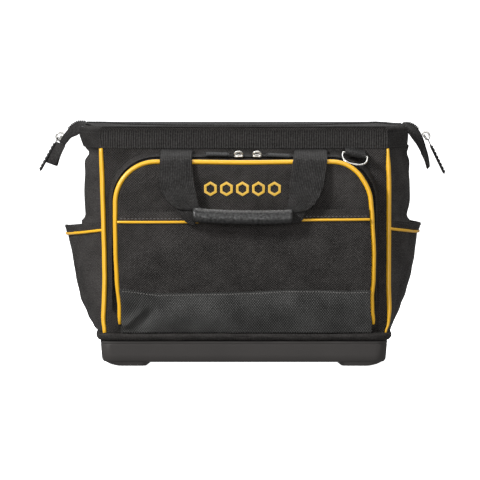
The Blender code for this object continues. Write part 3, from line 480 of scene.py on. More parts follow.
def panel(name, front, thickness, columns, rows, look, body="root", nodes=(), lip=0.4, turn=False):
    """Cloth sheet of a given thickness behind a surface of two shares, with rounded edges."""
    points = [[front(u, v) for u in columns] for v in rows]
    last_r, last_c = len(rows) - 1, len(columns) - 1
    way = -1.0 if turn else 1.0
    mesh = bmesh.new()
    out = [[mesh.verts.new(point) for point in row] for row in points]
    back = []
    for r, row in enumerate(points):
        line = []
        for c, point in enumerate(row):
            across = row[min(c + 1, last_c)] - row[max(c - 1, 0)]
            down = points[min(r + 1, last_r)][c] - points[max(r - 1, 0)][c]
            line.append(mesh.verts.new(point - across.cross(down).normalized() * thickness * way))
        back.append(line)
    middle = len(columns) // 2
    wide = [spans(row) for row in points]
    long = spans([row[middle] for row in points])

    def place(r, c):
        return wide[r][c] - wide[r][middle], long[r]

    for grid in (out, back):
        for r in range(last_r):
            for c in range(last_c):
                corners = ((r, c), (r, c + 1), (r + 1, c + 1), (r + 1, c))
                face = mesh.faces.new([grid[a][b] for a, b in corners])
                put_uv(mesh, face, [place(a, b) for a, b in corners])
    rim = [(0, c) for c in range(last_c)] + [(r, last_c) for r in range(last_r)]
    rim += [(last_r, c) for c in range(last_c, 0, -1)] + [(r, 0) for r in range(last_r, 0, -1)]
    lips = []
    for r, c in rim:
        inner = points[min(max(r, 1), last_r - 1)][min(max(c, 1), last_c - 1)]
        outward = (points[r][c] - inner).normalized() * thickness * lip
        lips.append(mesh.verts.new((out[r][c].co + back[r][c].co) / 2 + outward))
    for i, (r0, c0) in enumerate(rim):
        j = (i + 1) % len(rim)
        r1, c1 = rim[j]
        for quad in ((out[r0][c0], out[r1][c1], lips[j], lips[i]),
                     (lips[i], lips[j], back[r1][c1], back[r0][c0])):
            places = [place(r0, c0), place(r1, c1), place(r1, c1), place(r0, c0)]
            put_uv(mesh, mesh.faces.new(quad), places)
    return make(name, mesh, look, body, nodes, 50.0)


def loft(name, sections, look, body="root", nodes=(), closed=False, sharp=40.0):
    """Closed body through sections of equal point counts, with metre UVs."""
    closing_run = 0.01
    along = spans([sum(s, Vector()) / len(s) for s in sections])
    along.append(along[-1] + closing_run)
    around = [spans(list(s) + [s[0]]) for s in sections]
    mesh = bmesh.new()
    skin(mesh, sections, closed, lambda i, k: (*around[i][k:k + 2], *along[i:i + 2]))
    return make(name, mesh, look, body, nodes, sharp)


# Push outwards and share of the radius at a cord's blunt end
BLUNT_END_SHARES = ((0.0, 1.0), (0.55, 0.84), (0.9, 0.45))


def tube(name, points, radius, look, body="root", nodes=(), sides=12, cyclic=False, flat=1.0, up=None):
    """Round cord along points. radius is a number or a function of the share along it."""
    points = [Vector(p) for p in points]
    last = len(points) - 1
    tangents = []
    for i in range(last + 1):
        if cyclic:
            run = points[(i + 1) % len(points)] - points[i - 1]
        else:
            run = points[min(i + 1, last)] - points[max(i - 1, 0)]
        tangents.append(run.normalized())
    side = up or (UPWARD if abs(tangents[0].z) < 0.9 else Vector((1, 0, 0)))
    frames = []
    for run in tangents:
        side = (side - run * side.dot(run)).normalized()
        frames.append((side, run.cross(side)))
    if cyclic:
        twist = math.atan2(side.dot(frames[0][1]), side.dot(frames[0][0]))
        for i, (a, b) in enumerate(frames):
            angle = -twist * i / len(points)
            frames[i] = (a * math.cos(angle) + b * math.sin(angle), b * math.cos(angle) - a * math.sin(angle))
    along = spans(points)
    total = along[-1] or 1.0
    rings = []
    sizes = []
    distances = []
    for i, (point, (a, b)) in enumerate(zip(points, frames)):
        full = radius(along[i] / total) if callable(radius) else radius
        way = 1 if i else -1
        ends = BLUNT_END_SHARES[::way] if not cyclic and i in (0, last) else BLUNT_END_SHARES[:1]
        for push, shrink in ends:
            size = full * shrink
            centre = point + tangents[i] * way * full * push * 0.5
            rings.append([centre + a * math.cos(angle) * size + b * math.sin(angle) * size * flat
                          for angle in circle(sides)])
            sizes.append(size)
            distances.append(along[i] + way * push * full)
    distances.append(distances[-1] + total / len(points))

    def span(i, k):
        step = math.tau * sizes[i] / sides
        return k * step, (k + 1) * step, distances[i], distances[i + 1]

    mesh = bmesh.new()
    skin(mesh, rings, cyclic, span)
    return make(name, mesh, look, body, nodes, 60.0)


def walk(points, pitch, start=0.5):
    """Places and directions at even distances along a line."""
    points = [Vector(p) for p in points]
    along = spans(points)
    out = []
    index = 0
    count = max(1, int(along[-1] / pitch))
    for step in range(count):
        distance = (step + start) * along[-1] / count
        while index < len(points) - 2 and along[index + 1] < distance:
            index += 1
        run = points[index + 1] - points[index]
        length = run.length or 1e-9
        out.append((points[index] + run * ((distance - along[index]) / length), run / length))
    return out


# A sewn thread's sections: share of its half length, share of its width, and rise
THREAD_SHARES = ((-1, 0.35, -0.6), (-0.72, 0.85, 0.2), (0, 1.0, 0.6), (0.72, 0.85, 0.2), (1, 0.35, -0.6))
THREAD_FLAT = 0.5


def stitches(name, lines, normal, sewn, look=DARK_THREAD, body="root"):
    """Rows of sewn threads: small rounded bars that lie on a surface.

    sewn is their pitch, length and width. normal is a vector, or a function of a point,
    that points out of the surface.
    """
    pitch, length, width = sewn
    mesh = bmesh.new()
    for line in lines:
        for centre, along in walk(line, pitch):
            out = normal(centre) if callable(normal) else Vector(normal)
            out = (out - along * out.dot(along)).normalized()
            across = along.cross(out)
            rings = []
            for share, size, rise in THREAD_SHARES:
                middle = centre + along * share * length / 2 + out * rise * width * THREAD_FLAT
                half = width / 2 * size
                rings.append([middle + across * math.cos(angle) * half
                              + out * math.sin(angle) * half * THREAD_FLAT for angle in circle(6)])
            skin(mesh, rings)
    return make(name, mesh, look, body, (), 60.0)


# Camera, light and floor

PIXEL = 0.00122
IMAGE_SIDE = 480
MIDDLE_PIXEL = IMAGE_SIDE / 2
SENSOR = 36.0
CAMERA_AWAY = 9.0
CAMERA_RISE = math.radians(3.0)
CAMERA_FALL = 0.0524
AIM = (-0.00476, -0.100, 0.1549)
WHITE = (1.0, 1.0, 1.0, 1.0)
# Name, place, target, sides and power of each lamp
LAMPS = (
    ("key", (-1.9, -1.6, 1.9), (0, 0, 0.15), (0.6, 0.6), 108.0),
    ("fill", (0.2, -2.8, 0.8), (0, 0, 0.15), (1.2, 1.2), 28.0),
    ("top", (0.2, 0.5, 2.0), (0, 0, 0.2), (1.4, 1.0), 26.0),
)
FLOOR_Z = -0.0004
FLOOR_RADII = (0.02, 0.6, 1.8, 6.0, 30.0)
SURROUND_RADIUS = 28.0


def photo(px, py, y):
    """Place of a photograph pixel at a depth y measured from the middle of the base."""
    far = y + SHIFT - AIM[1]
    scale = PIXEL * (1 + far / CAMERA_AWAY)
    x = AIM[0] + (px - MIDDLE_PIXEL) * scale
    return Vector((x, y, AIM[2] + (MIDDLE_PIXEL - py) * scale - far * CAMERA_FALL))


def facing(place, target):
    return (Vector(target) - Vector(place)).to_track_quat("-Z", "Y").to_euler()


def studio_piece(name, mesh, look, roughness, cloud, glow, **sockets):
    """White surface round the part that glows and lights nothing."""
    paint = Paint(look, (0.9, 0.9, 0.9), roughness, 0.0, "Object", Emission_Color=WHITE,
                  Emission_Strength=glow, **sockets)
    paint.shade(paint.cloud(cloud), 1.0, 0.94 / 0.90)
    obj = make(name, mesh, paint.material, None, (), 40.0, False)
    obj.visible_diffuse = False
    obj.visible_glossy = False
    return obj


def set_stage():
    scene = bpy.context.scene
    data = bpy.data.cameras.new("camera")
    data.sensor_width = SENSOR
    data.lens = SENSOR * CAMERA_AWAY / (IMAGE_SIDE * PIXEL)
    data.clip_end = 50.0
    data.dof.use_dof = False
    camera = bpy.data.objects.new("camera", data)
    scene.collection.objects.link(camera)
    back = Vector((0, -math.cos(CAMERA_RISE), math.sin(CAMERA_RISE)))
    camera.location = Vector(AIM) + back * CAMERA_AWAY
    camera.rotation_euler = facing(camera.location, AIM)
    scene.camera = camera

    world = bpy.data.worlds.new("studio")
    world.use_nodes = True
    background = next(n for n in world.node_tree.nodes if n.type == "BACKGROUND")
    background.inputs[0].default_value = WHITE
    background.inputs[1].default_value = 0.42
    scene.world = world
    scene.view_settings.view_transform = "Standard"
    scene.view_settings.look = "None"

    for name, place, target, sides, power in LAMPS:
        data = bpy.data.lights.new(name, "AREA")
        data.shape = "RECTANGLE"
        data.size, data.size_y = sides
        data.energy = power
        lamp = bpy.data.objects.new(name, data)
        scene.collection.objects.link(lamp)
        lamp.location = place
        lamp.rotation_euler = facing(place, target)

    mesh = bmesh.new()
    rings = []
    for radius in FLOOR_RADII:
        rings.append([mesh.verts.new((radius * math.cos(angle), radius * math.sin(angle), FLOOR_Z))
                      for angle in circle(48)])
    mesh.faces.new(rings[0])
    for near, far in zip(rings, rings[1:]):
        for k in range(48):
            n = (k + 1) % 48
            mesh.faces.new((near[k], far[k], far[n], near[n]))
    floor = studio_piece("floor", mesh, "pale_floor", 0.7, 0.4, 1.15, Specular_IOR_Level=0.1)

    mesh = bmesh.new()
    bmesh.ops.create_uvsphere(mesh, u_segments=48, v_segments=24, radius=SURROUND_RADIUS)
    bmesh.ops.reverse_faces(mesh, faces=mesh.faces)
    surround = studio_piece("surround", mesh, "white_surround", 0.8, 4.0, 2.0)
    surround.visible_shadow = False


# Base tray, feet and binding roll

# How far out, how high and how round the tray's outline is, from inside up and over its rim
TRAY_PROFILE = (
    (-0.0100, 0.0047, 0.008), (-0.0046, 0.0047, 0.011), (-0.0022, 0.0056, 0.013), (-0.0006, 0.0082, 0.014),
    (0.0002, 0.0140, 0.014), (0.0012, 0.0262, 0.015), (0.0008, 0.0267, 0.014), (0.0008, 0.0274, 0.014),
    (0.0014, 0.0279, 0.015), (0.0014, 0.0305, 0.015), (0.0004, 0.0310, 0.014), (-0.0032, 0.0310, 0.012),
    (-0.0040, 0.0304, 0.010), (-0.0040, 0.0090, 0.010), (-0.0048, 0.0082, 0.009), (-0.012, 0.0082, 0.005),
)
# Inset and height of a foot's sections
FOOT_LEVELS = ((0.0192, 0.0), (0.0166, 0.0005), (0.0114, 0.0018), (0.0072, 0.0036), (0.0042, 0.0052),
               (0.0024, 0.0067))
FOOT_HIGH = 0.0067
FOOT_LONG = 0.0342
FOOT_FLARE = 0.0085
FOOT_INSET_X = 0.0204
FOOT_INSET_Y = 0.0050
# At the ground and at the top: gap to the base's edge, and corner radius
FOOT_GAP = (0.0046, 0.0024)
FOOT_CORNER = (0.008, 0.0125)
BIND_OUT = 0.0068
BIND_IN = 0.0038
BIND_HALF_HIGH = 0.0049
BIND_SEAM_OUT = 0.0064
BIND_SEAM_Z = 0.0386
BIND_SEWN = (0.0046, 0.0030, 0.0007)


def rounded(half_x, half_y, radius, z, corner_steps=8, edge_steps=6):
    """Points of a rounded rectangle at one height, from its front right corner."""
    corners = []
    for sx, sy, start in ((1, -1, -90), (1, 1, 0), (-1, 1, 90), (-1, -1, 180)):
        corner = []
        for step in range(corner_steps + 1):
            angle = math.radians(start + 90 * step / corner_steps)
            corner.append(Vector((sx * (half_x - radius) + radius * math.cos(angle),
                                  sy * (half_y - radius) + radius * math.sin(angle), z)))
        corners.append(corner)
    out = []
    for corner, after in zip(corners, corners[1:] + corners[:1]):
        out += corner + [corner[-1].lerp(after[0], step / edge_steps) for step in range(1, edge_steps)]
    return out


def base_outward(point):
    """Direction out of the base's rounded outline, and a little up."""
    x = point.x / BASE_HALF ** 4 * abs(point.x) ** 3
    y = point.y / BASE_DEEP ** 4 * abs(point.y) ** 3
    return Vector((x, y, 0.35)).normalized()


def build_base():
    mesh = bmesh.new()
    skin(mesh, [rounded(BASE_HALF + out, BASE_DEEP + out, radius, z) for out, z, radius in TRAY_PROFILE])
    make("moulded_tray", mesh, PLASTIC, "root", ("base_tray",), 28.0)

    for name_x, sx in SIDES:
        for name_y, sy in ENDS:
            sections = []
            for inset, z in FOOT_LEVELS:
                rise = z / FOOT_HIGH
                outer_x = BASE_HALF - inset
                outer_y = BASE_DEEP - mix(*FOOT_GAP, rise)
                inner_x = BASE_HALF - FOOT_INSET_X - FOOT_LONG - FOOT_FLARE * rise
                inner_y = BASE_DEEP - FOOT_INSET_Y - FOOT_LONG - FOOT_FLARE * rise
                middle = Vector((sx * (outer_x + inner_x) / 2, sy * (outer_y + inner_y) / 2, 0))
                outline = rounded((outer_x - inner_x) / 2, (outer_y - inner_y) / 2,
                                  mix(*FOOT_CORNER, rise), z, 10, 2)
                sections.append([point + middle for point in outline])
            loft(f"{name_y}_{name_x}_foot", sections, PLASTIC, sharp=24.0)

    base = rounded(BASE_HALF, BASE_DEEP, BASE_CORNER, 0.0, 8, 24)
    middle = (BIND_LOW + BIND_TOP) / 2
    sections = []
    seam = []
    for index, point in enumerate(base):
        run = (base[(index + 1) % len(base)] - base[index - 1]).normalized()
        out = Vector((run.y, -run.x, 0.0))
        bumps = partial(rough, point.x, point.y, 0)
        wobble = bumps(0.045, 3.0) * 0.0009 + bumps(0.016, 8.0) * 0.0008
        lift = bumps(0.060, 5.0) * 0.0013 + bumps(0.020, 2.0) * 0.0006
        section = []
        for angle in circle(14):
            across = (BIND_OUT + wobble) * math.cos(angle) * (1.0 + 0.10 * math.sin(3 * angle))
            if math.cos(angle) < 0:
                across = BIND_IN * math.cos(angle)
            tall = (BIND_HALF_HIGH + wobble * 0.4) * math.sin(angle)
            height = middle + tall + lift * (0.6 if tall > 0 else 0.25)
            section.append(point + out * across + Vector((0, 0, height)))
        sections.append(section)
        seam.append(point + out * BIND_SEAM_OUT + Vector((0, 0, BIND_SEAM_Z)))
    loft("binding_roll", sections, BINDING, "root", ("base_binding",), True, 60.0)
    stitches("binding_stitches", [seam + seam[:1]], base_outward, BIND_SEWN)


# Walls, side panels and corner piping

# Half width of the bag's corners by height
LEFT_CORNER = ((0.041, 0.1702), (0.057, 0.1720), (0.080, 0.1710), (0.106, 0.1703), (0.137, 0.1708),
               (0.177, 0.1719), (0.222, 0.1733), (0.265, 0.1750))
RIGHT_CORNER = ((0.041, 0.1730), (0.052, 0.1768), (0.067, 0.1778), (0.100, 0.1770), (0.160, 0.1773),
                (0.222, 0.1776), (0.265, 0.1764))
WALL_CLOTH = 0.0030
WALL_INSET = 0.0026
CLOTH_LOW = 0.0385
PIPING_RADIUS = 0.0029
PIPING_LOW = 0.0400
SEAM_INSET = 0.0052
WALL_SEWN = (0.0042, 0.0028, 0.0006)


def corner_at(side, z):
    return curve(LEFT_CORNER if side < 0 else RIGHT_CORNER, z)


def wall_dent(end, x, z):
    """Slack of a wall, always towards the inside."""
    edge = clamp01((0.168 - abs(x)) / 0.020) * climb(z, 0.045, 0.02) * fade(z, 0.262, 0.012)
    soft = 0.0009 * (1 + rough(x, end, z, 0.055, 2.0 + end)) + 0.0004 * (1 + rough(x, end, z, 0.022, 6.0))
    dimple = 0.0016 * bell(abs(x) - 0.146, 0.012) * bell(z - 0.2470, 0.010)
    return (soft + dimple) * edge


def wall_point(end, u, z):
    x = u * (corner_at(-1 if u < 0 else 1, z) - WALL_INSET)
    return Vector((x, end * (wall_y(z) - wall_dent(end, x, z)), z))


def side_fold(side, t, z):
    """How far a side panel lies from its plain bulge; never outwards behind its pocket."""
    outer = 0.0032 if side > 0 else 0.0
    high = climb(z, 0.170, 0.02)
    pinch = (0.0066 if side < 0 else 0.0034) * bell(z - 0.2565, 0.0065)
    pleat = 0.0014 * math.sin(7.5 * t + side) * bell(z - 0.247, 0.020)
    slant = t * 0.070 + side * 0.010 - (z - 0.215) * 0.55 * side
    crease = 0.0016 * bell(slant, 0.006) * fade(z, 0.262, 0.01)
    bumps = partial(rough, side, t * 0.08, z)
    soft = 0.0011 * bumps(0.045, 4.0 + side) + 0.0005 * bumps(0.018, 9.0)
    lift = outer * climb(z, 0.178, 0.02) * (1 - abs(t) ** 2) + (soft + pleat - crease) * high
    low = -abs(soft) * (1 - high) * climb(z, 0.045, 0.01)
    flare = 0.0048 * fade(z, 0.1790, 0.0060) * climb(z, 0.1600, 0.0080)
    return (lift - pinch + low + flare) * (1 - abs(t) ** 6)


def side_point(side, t, z):
    base = side_x(z, t) - corner_x(z) + corner_at(side, z)
    return Vector((side * (base + side_fold(side, t, z)), t * (wall_y(z) - WALL_CLOTH), z))


def build_walls():
    rows = steps(64, CLOTH_LOW, BAND_LOW + 0.0006)
    for name, end in ENDS:
        panel(f"{name}_wall_cloth", partial(wall_point, end), WALL_CLOTH, steps(72, -1.0, 1.0)[::-end],
              rows, FABRIC, "root", (f"{name}_wall",))
    for name, side in SIDES:
        panel(f"{name}_side_panel_cloth", partial(side_point, side), WALL_CLOTH,
              steps(56, -1.0, 1.0)[::side], rows, SIDE_FABRIC, "root", (f"{name}_side_panel",))
    for name_x, side in SIDES:
        top, foot = (0.55, 0.42) if side > 0 else (0.86, 0.80)

        def radius(share, top=top, foot=foot):
            taper = mix(1.0, top, climb(share, 0.90, 0.10))
            return PIPING_RADIUS * taper * mix(foot, 1.0, smooth(share / 0.16))

        for name_y, end in ENDS:
            name = f"{name_y}_{name_x}"
            line = [Vector((side * corner_at(side, z), end * wall_y(z), z))
                    for z in steps(48, PIPING_LOW, BAND_LOW - 0.0005)]
            tube(f"{name}_piping", line, radius, GOLD, "root", (f"{name}_corner_piping",), 14)
            seam = [point + Vector((-side * SEAM_INSET, end * 0.0004, 0)) for point in line]
            stitches(f"{name}_seam", [seam], Vector((0, end, 0)), WALL_SEWN)


# Mouth band, zip flaps and teeth

MOUTH_HALF = 0.1770
MOUTH_ROUND = 0.0260
MOUTH_FACE_Y = 0.0770
BAND_THICK = 0.0048
# How far in and how high the band's outline is, up its face and down its inside
BAND_PROFILE = (
    (0.0, BAND_LOW + 0.0002), (-0.0002, 0.2700), (-0.0002, 0.2790), (0.0, 0.2862), (-0.0005, 0.2872),
    (-0.0006, 0.2892), (0.0004, 0.2911), (0.0016, 0.2919), (0.0030, 0.2917), (0.0042, 0.2902),
    (BAND_THICK, 0.2870), (BAND_THICK, 0.2750), (BAND_THICK, BAND_LOW + 0.0004),
    (BAND_THICK - 0.0012, BAND_LOW), (BAND_THICK - 0.0014, 0.2718), (0.0014, 0.2718), (0.0012, BAND_LOW),
)
BAND_SEWN = (0.0044, 0.0029, 0.0006)
# Height of the zip's middle line by x: it sags between its two ends
ZIP_LINE = ((-0.195, 0.2941), (-0.172, 0.2938), (-0.140, 0.2918), (-0.080, 0.2904), (0.0, 0.2899),
            (0.080, 0.2906), (0.130, 0.2924), (0.163, 0.2940), (0.184, 0.2918), (0.2000, 0.2926))
FLAP_EDGE_Y = 0.0757
FLAP_EDGE_Z = 0.2922
FLAP_SEWN = (0.0034, 0.0023, 0.0005)
FLAP_CLOTH = 0.0012
FLAP_CORD = 0.0007
TOOTH_PITCH = 0.0023
TOOTH_LIFT = 0.0006
# Reach towards the other row and half width along the zip of a tooth's sections
TOOTH_SHAPE = ((-0.0016, 0.00055), (-0.0004, 0.00062), (0.0002, 0.00040), (0.00055, 0.00070),
               (0.0009, 0.00040))


def mouth_path(end, inset):
    """Half of the mouth's outline from the left end round to the right one."""
    face = MOUTH_FACE_Y - inset
    half = MOUTH_HALF - inset
    points = []
    for share in steps(30):
        y = mix(0.00015, face, math.sin(share * math.pi / 2))
        points.append((-(half + MOUTH_ROUND * (1 - (y / face) ** 1.9)), y))
    front = [(x, face) for x in steps(70, -half, half)[1:-1]]
    points = points + front + [(-x, y) for x, y in reversed(points)]
    return [Vector((x, end * y, 0.0)) for x, y in points]


def band_place(point, rise, z):
    """Point of the band at a height: its low edge is drawn in at the two ends."""
    place = point + Vector((0, 0, z + rise))
    low = 1 - clamp01((z - BAND_LOW) / 0.014)
    high = clamp01((z - 0.280) / 0.012)
    pull = 0.0050 if place.x < 0 else 0.0012
    shift = climb(abs(place.x), 0.165, 0.030) * (pull * low + 0.0042 * high * high)
    return place - Vector((math.copysign(shift, place.x), 0.0, 0.0))


def band_outward(end, point):
    """Direction out of the band, which turns round at the mouth's ends."""
    return Vector((math.copysign(climb(abs(point.x), 0.17, 0.02), point.x),
                   end * (1.02 - climb(abs(point.x), 0.17, 0.03)), 0.0))


def build_band():
    for name, end in ENDS:
        sections = []
        for points in zip(*(mouth_path(end, inset) for inset, _ in BAND_PROFILE)):
            section = []
            for point, (_, z) in zip(points, BAND_PROFILE):
                bumps = partial(rough, point.x, end, 0)
                uneven = 0.0007 * bumps(0.05, 7.0) + 0.0003 * bumps(0.017, 3.0)
                part = (1 - clamp01((z - BAND_LOW) / 0.004)) * 0.7 + clamp01((z - 0.284) / 0.006)
                section.append(band_place(point, uneven * part, z))
            sections.append(section)
        band = loft(f"{name}_band_webbing", sections, RIBBED, "root", (f"{name}_mouth_band",), sharp=50.0)
        # Faces at the band's ends, along its top roll and facing into the mouth take the darker cloth:
        # painted shade
        band.data.materials.append(BAND_SHADE_CLOTH)
        for face in band.data.polygons:
            if abs(face.center.x) > 0.1765 or face.center.z > 0.2868 or face.normal.y * end < 0:
                face.material_index = 1
        rows = []
        for z, inset, part in ((0.2838, -0.0002, 1.0), (0.2668, 0.0, 0.3)):
            rows.append([band_place(point, 0.0007 * rough(point.x, end, 0, 0.05, 7.0) * part, z)
                         for point in mouth_path(end, inset)])
        stitches(f"{name}_band_stitches", rows, partial(band_outward, end), BAND_SEWN)


def flap_surface(end, u, share, lift=0.0):
    y = mix(FLAP_EDGE_Y, 0.0006, share)
    x = u * mix(0.1735, 0.1955, 1 - (1 - share) ** 1.7)
    soft = 0.0005 * rough(x, y, end, 0.030, 5.0)
    z = mix(FLAP_EDGE_Z, curve(ZIP_LINE, x), smooth(share)) + soft * math.sin(share * math.pi) + lift
    return Vector((x, end * y, z))


def build_flaps():
    across = steps(90, -1.0, 1.0)
    for name, end in ENDS:
        body = f"{name}_flap"
        panel(f"{name}_flap_tape", partial(flap_surface, end), FLAP_CLOTH, across[::-end],
              [-0.020, -0.006] + steps(16), TAPE, body, (f"{name}_zip_flap",))
        for tag, share in (("hem", 0.14), ("seam", 0.83)):
            line = [flap_surface(end, u, share, 0.0002) for u in across]
            stitches(f"{name}_flap_{tag}", [line], UPWARD, FLAP_SEWN, body=body)
        tube(f"{name}_flap_cord", [flap_surface(end, u * 0.995, 0.90, 0.0004) for u in across], FLAP_CORD,
             TAPE, body, sides=8)
        line = [flap_surface(end, u, 1.0, 0.0003) for u in steps(60, -0.93, 0.93)]
        teeth(f"{name}_teeth_row", line, end, UPWARD, body, (f"{name}_zip_teeth",))


def teeth(name, line, end, up, body="root", nodes=()):
    """Row of moulded zip teeth along a line, with heads that reach towards the other row."""
    toward = Vector((0, -end, 0))
    mesh = bmesh.new()
    for centre, along in walk(line, TOOTH_PITCH, 0.25 if end < 0 else 0.50):
        out = (up - along * up.dot(along)).normalized()
        head = (toward - along * toward.dot(along)).normalized()
        rings = []
        for reach, half in TOOTH_SHAPE:
            rings.append([centre + head * reach + along * half * a + out * TOOTH_LIFT * (1 + b)
                          for a, b in ((-1, -1), (1, -1), (1, 1), (-1, 1))])
        skin(mesh, rings)
    make(name, mesh, TEETH, body, nodes, 45.0)


# Zip tails, end tabs, sliders and pulls

# Half length and height down each tail's ridge and edge
LEFT_RIDGE = ((0.1950, 0.2954), (0.2052, 0.2952), (0.2132, 0.2906), (0.2212, 0.2808), (0.2284, 0.2716))
LEFT_EDGE = ((0.1950, 0.2925), (0.2040, 0.2806), (0.2130, 0.2762), (0.2188, 0.2700), (0.2228, 0.2648))
RIGHT_RIDGE = ((0.1966, 0.2940), (0.2050, 0.2936), (0.2126, 0.2896), (0.2190, 0.2806), (0.2246, 0.2662))
RIGHT_EDGE = ((0.1966, 0.2918), (0.2046, 0.2800), (0.2092, 0.2738), (0.2144, 0.2664), (0.2200, 0.2562))
# The same at the top and the foot of each end tab, for its ridge and its edge
LEFT_TAB = (((0.2328, 0.2698), (0.2446, 0.2462)), ((0.2220, 0.2650), (0.2312, 0.2414)))
RIGHT_TAB = (((0.2243, 0.2655), (0.2300, 0.2400)), ((0.2200, 0.2560), (0.2276, 0.2380)))
TAB_HALF = 0.0126
TAIL_CLOTH = 0.0017
TAB_CLOTH = 0.0022
TAIL_SEWN = (0.0032, 0.0021, 0.0005)
TAB_SEWN = (0.0030, 0.0020, 0.0005)
SEAT_X = 0.22106
SEAT_Z = 0.27325
SLOPE_X = 0.54502
SLOPE_Z = 0.83842
# Lift off the tail, shift up it, shift of the pull's pivot and lean of the pull
HANGS = {-1: (0.0036, 0.0, 0.0040, 0.0004, 29.0), 1: (0.0020, 0.0018, 0.0022, -0.0022, 26.0)}
# Length, width, height of the wire bridge and the bridge's share of the length
MAIN_SLIDER = (0.0096, 0.0088, 0.0054, 1.04)
POCKET_SLIDER = (0.0118, 0.0084, 0.0040, 0.80)
WIRE_RADIUS = 0.00105
# Height and share of its outline of a slider's sections, and the outline's left half
SLIDER_LEVELS = ((0.0003, 0.86), (0.0008, 1.0), (0.0016, 1.0), (0.0021, 0.90), (0.0028, 0.88), (0.0033, 0.66))
SLIDER_OUTLINE_SHARES = ((-1.0, -0.62), (-0.72, -0.96), (-0.30, -1.0), (0.10, -0.78), (0.55, -0.82),
                         (0.92, -0.74), (1.0, -0.52))
# Length, ribs, width, thickness, length of the loop and height of a rib
MAIN_PULL = (0.0462, 8, 0.0100, 0.0036, 0.0074, 0.0010)
POCKET_PULL = (0.0350, 9, 0.0082, 0.0024, 0.0066, 0.00025)
PULL_OUTSIDE_SHARES = ((-1.0, 0.15), (-0.86, 0.80), (-0.66, 1.0), (0.66, 1.0), (0.86, 0.80), (1.0, 0.15))
PULL_INSIDE_SHARES = ((1.0, -0.35), (0.80, -1.0), (-0.80, -1.0), (-1.0, -0.35))
LOOP_RADIUS = 0.00062
LOOP_HALF = 0.0024
GRIP_OVERLAP = 0.0012


def table_point(table, share):
    """Smooth point of a short (x, z) table at a share from 0 to 1."""
    place = clamp01(share) * (len(table) - 1)
    index = min(int(place), len(table) - 2)
    part = place - index
    picks = [table[min(max(index + k, 0), len(table) - 1)] for k in (-1, 0, 1, 2)]
    out = []
    for a, b, c, d in zip(*picks):
        out.append(0.5 * (2 * b + (c - a) * part + (2 * a - 5 * b + 4 * c - d) * part ** 2
                          + (3 * b - a - 3 * c + d) * part ** 3))
    return out


def tail_point(side, u, share):
    """Point of a tail: u runs across it, share down it."""
    ridge = table_point(LEFT_RIDGE if side < 0 else RIGHT_RIDGE, share)
    edge = table_point(LEFT_EDGE if side < 0 else RIGHT_EDGE, share)
    drop = abs(u) ** 1.5
    x, z = [mix(a, b, drop) for a, b in zip(ridge, edge)]
    width = mix(0.0135, 0.0150, math.sin(share * math.pi)) * (1 - 0.12 * share)
    soft = 0.0004 * rough(x, u * 0.02, z, 0.008, 3.0 + side)
    return Vector((side * x, width * u * (1 - 0.18 * drop), z + soft))


def tab_point(side, u, share):
    """Point of a tail's end tab."""
    lines = LEFT_TAB if side < 0 else RIGHT_TAB
    ridge, edge = [[mix(a, b, share) for a, b in zip(*ends)] for ends in lines]
    x, z = [mix(a, b, abs(u) ** 1.6) for a, b in zip(ridge, edge)]
    x += 0.0010 * math.sin(share * math.pi)
    return Vector((side * x, TAB_HALF * (1 - 0.10 * climb(share, 0.8, 0.2)) * u, z))


def build_slider(name, seat, down, out, size, body, node):
    """Cast slider: a waisted body with two wings, a raised middle and a wire bridge."""
    length, width, arch, loop = size
    across = down.cross(out).normalized()
    half = length / 2
    outline = [*SLIDER_OUTLINE_SHARES, *((a, -b) for a, b in reversed(SLIDER_OUTLINE_SHARES))]
    sections = []
    for height, grow in SLIDER_LEVELS:
        sections.append([seat + out * height + down * half * a * grow + across * width / 2 * b * grow
                         for a, b in outline])
    loft(name, sections, NICKEL, body, (node,), sharp=35.0)
    points = []
    for angle in steps(14, 0.0, math.pi):
        height = 0.0022 + (arch + 0.0004) * math.sin(angle) ** 0.8
        points.append(seat + out * height - down * half * loop * math.cos(angle))
    tube(f"{name}_bridge_wire", points, WIRE_RADIUS, NICKEL, body, sides=10, flat=1.3, up=across)


def build_pull(name, pivot, along, across, face, size, body, node):
    """Rubber pull: a loop through the slider, and a grip with ribs on its outer side."""
    length, ribs, width, thick, collar, rib_height = size
    loop = []
    for angle in steps(16, 0.0, math.tau)[:-1]:
        a = collar / 2 - 0.0004 - (collar / 2 + 0.0002) * math.cos(angle)
        loop.append(pivot + along * a + across * LOOP_HALF * math.sin(angle))
    cord = tube(f"{name}_loop", loop, LOOP_RADIUS, RUBBER, None, sides=8, cyclic=True, up=face)
    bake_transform(cord)
    sections = []
    for share in steps(ribs * 8):
        taper = smooth(share / 0.10)
        end = fade(share, 1, 0.05)
        centre = pivot + along * (collar - GRIP_OVERLAP + (length - collar + GRIP_OVERLAP) * share)
        phase = (share * ribs) % 1.0
        rib = rib_height * (smooth(phase / 0.35) - climb(phase, 0.75, 0.25)) if 0.06 < share < 0.96 else 0.0
        inner = thick / 2 * mix(0.55, 1.0, taper) * mix(0.6, 1.0, end)
        outer = inner * 0.62 + rib
        waist = 1.0 - 0.10 * math.sin(share * math.pi)
        half = width / 2 * mix(0.50, 1.0, taper) * mix(0.80, 1.0, end) * waist
        sections.append([centre + across * half * a + face * outer * b for a, b in PULL_OUTSIDE_SHARES]
                        + [centre + across * half * a + face * inner * b for a, b in PULL_INSIDE_SHARES])
    loft(name, sections, RUBBER, body, (node,), sharp=42.0)


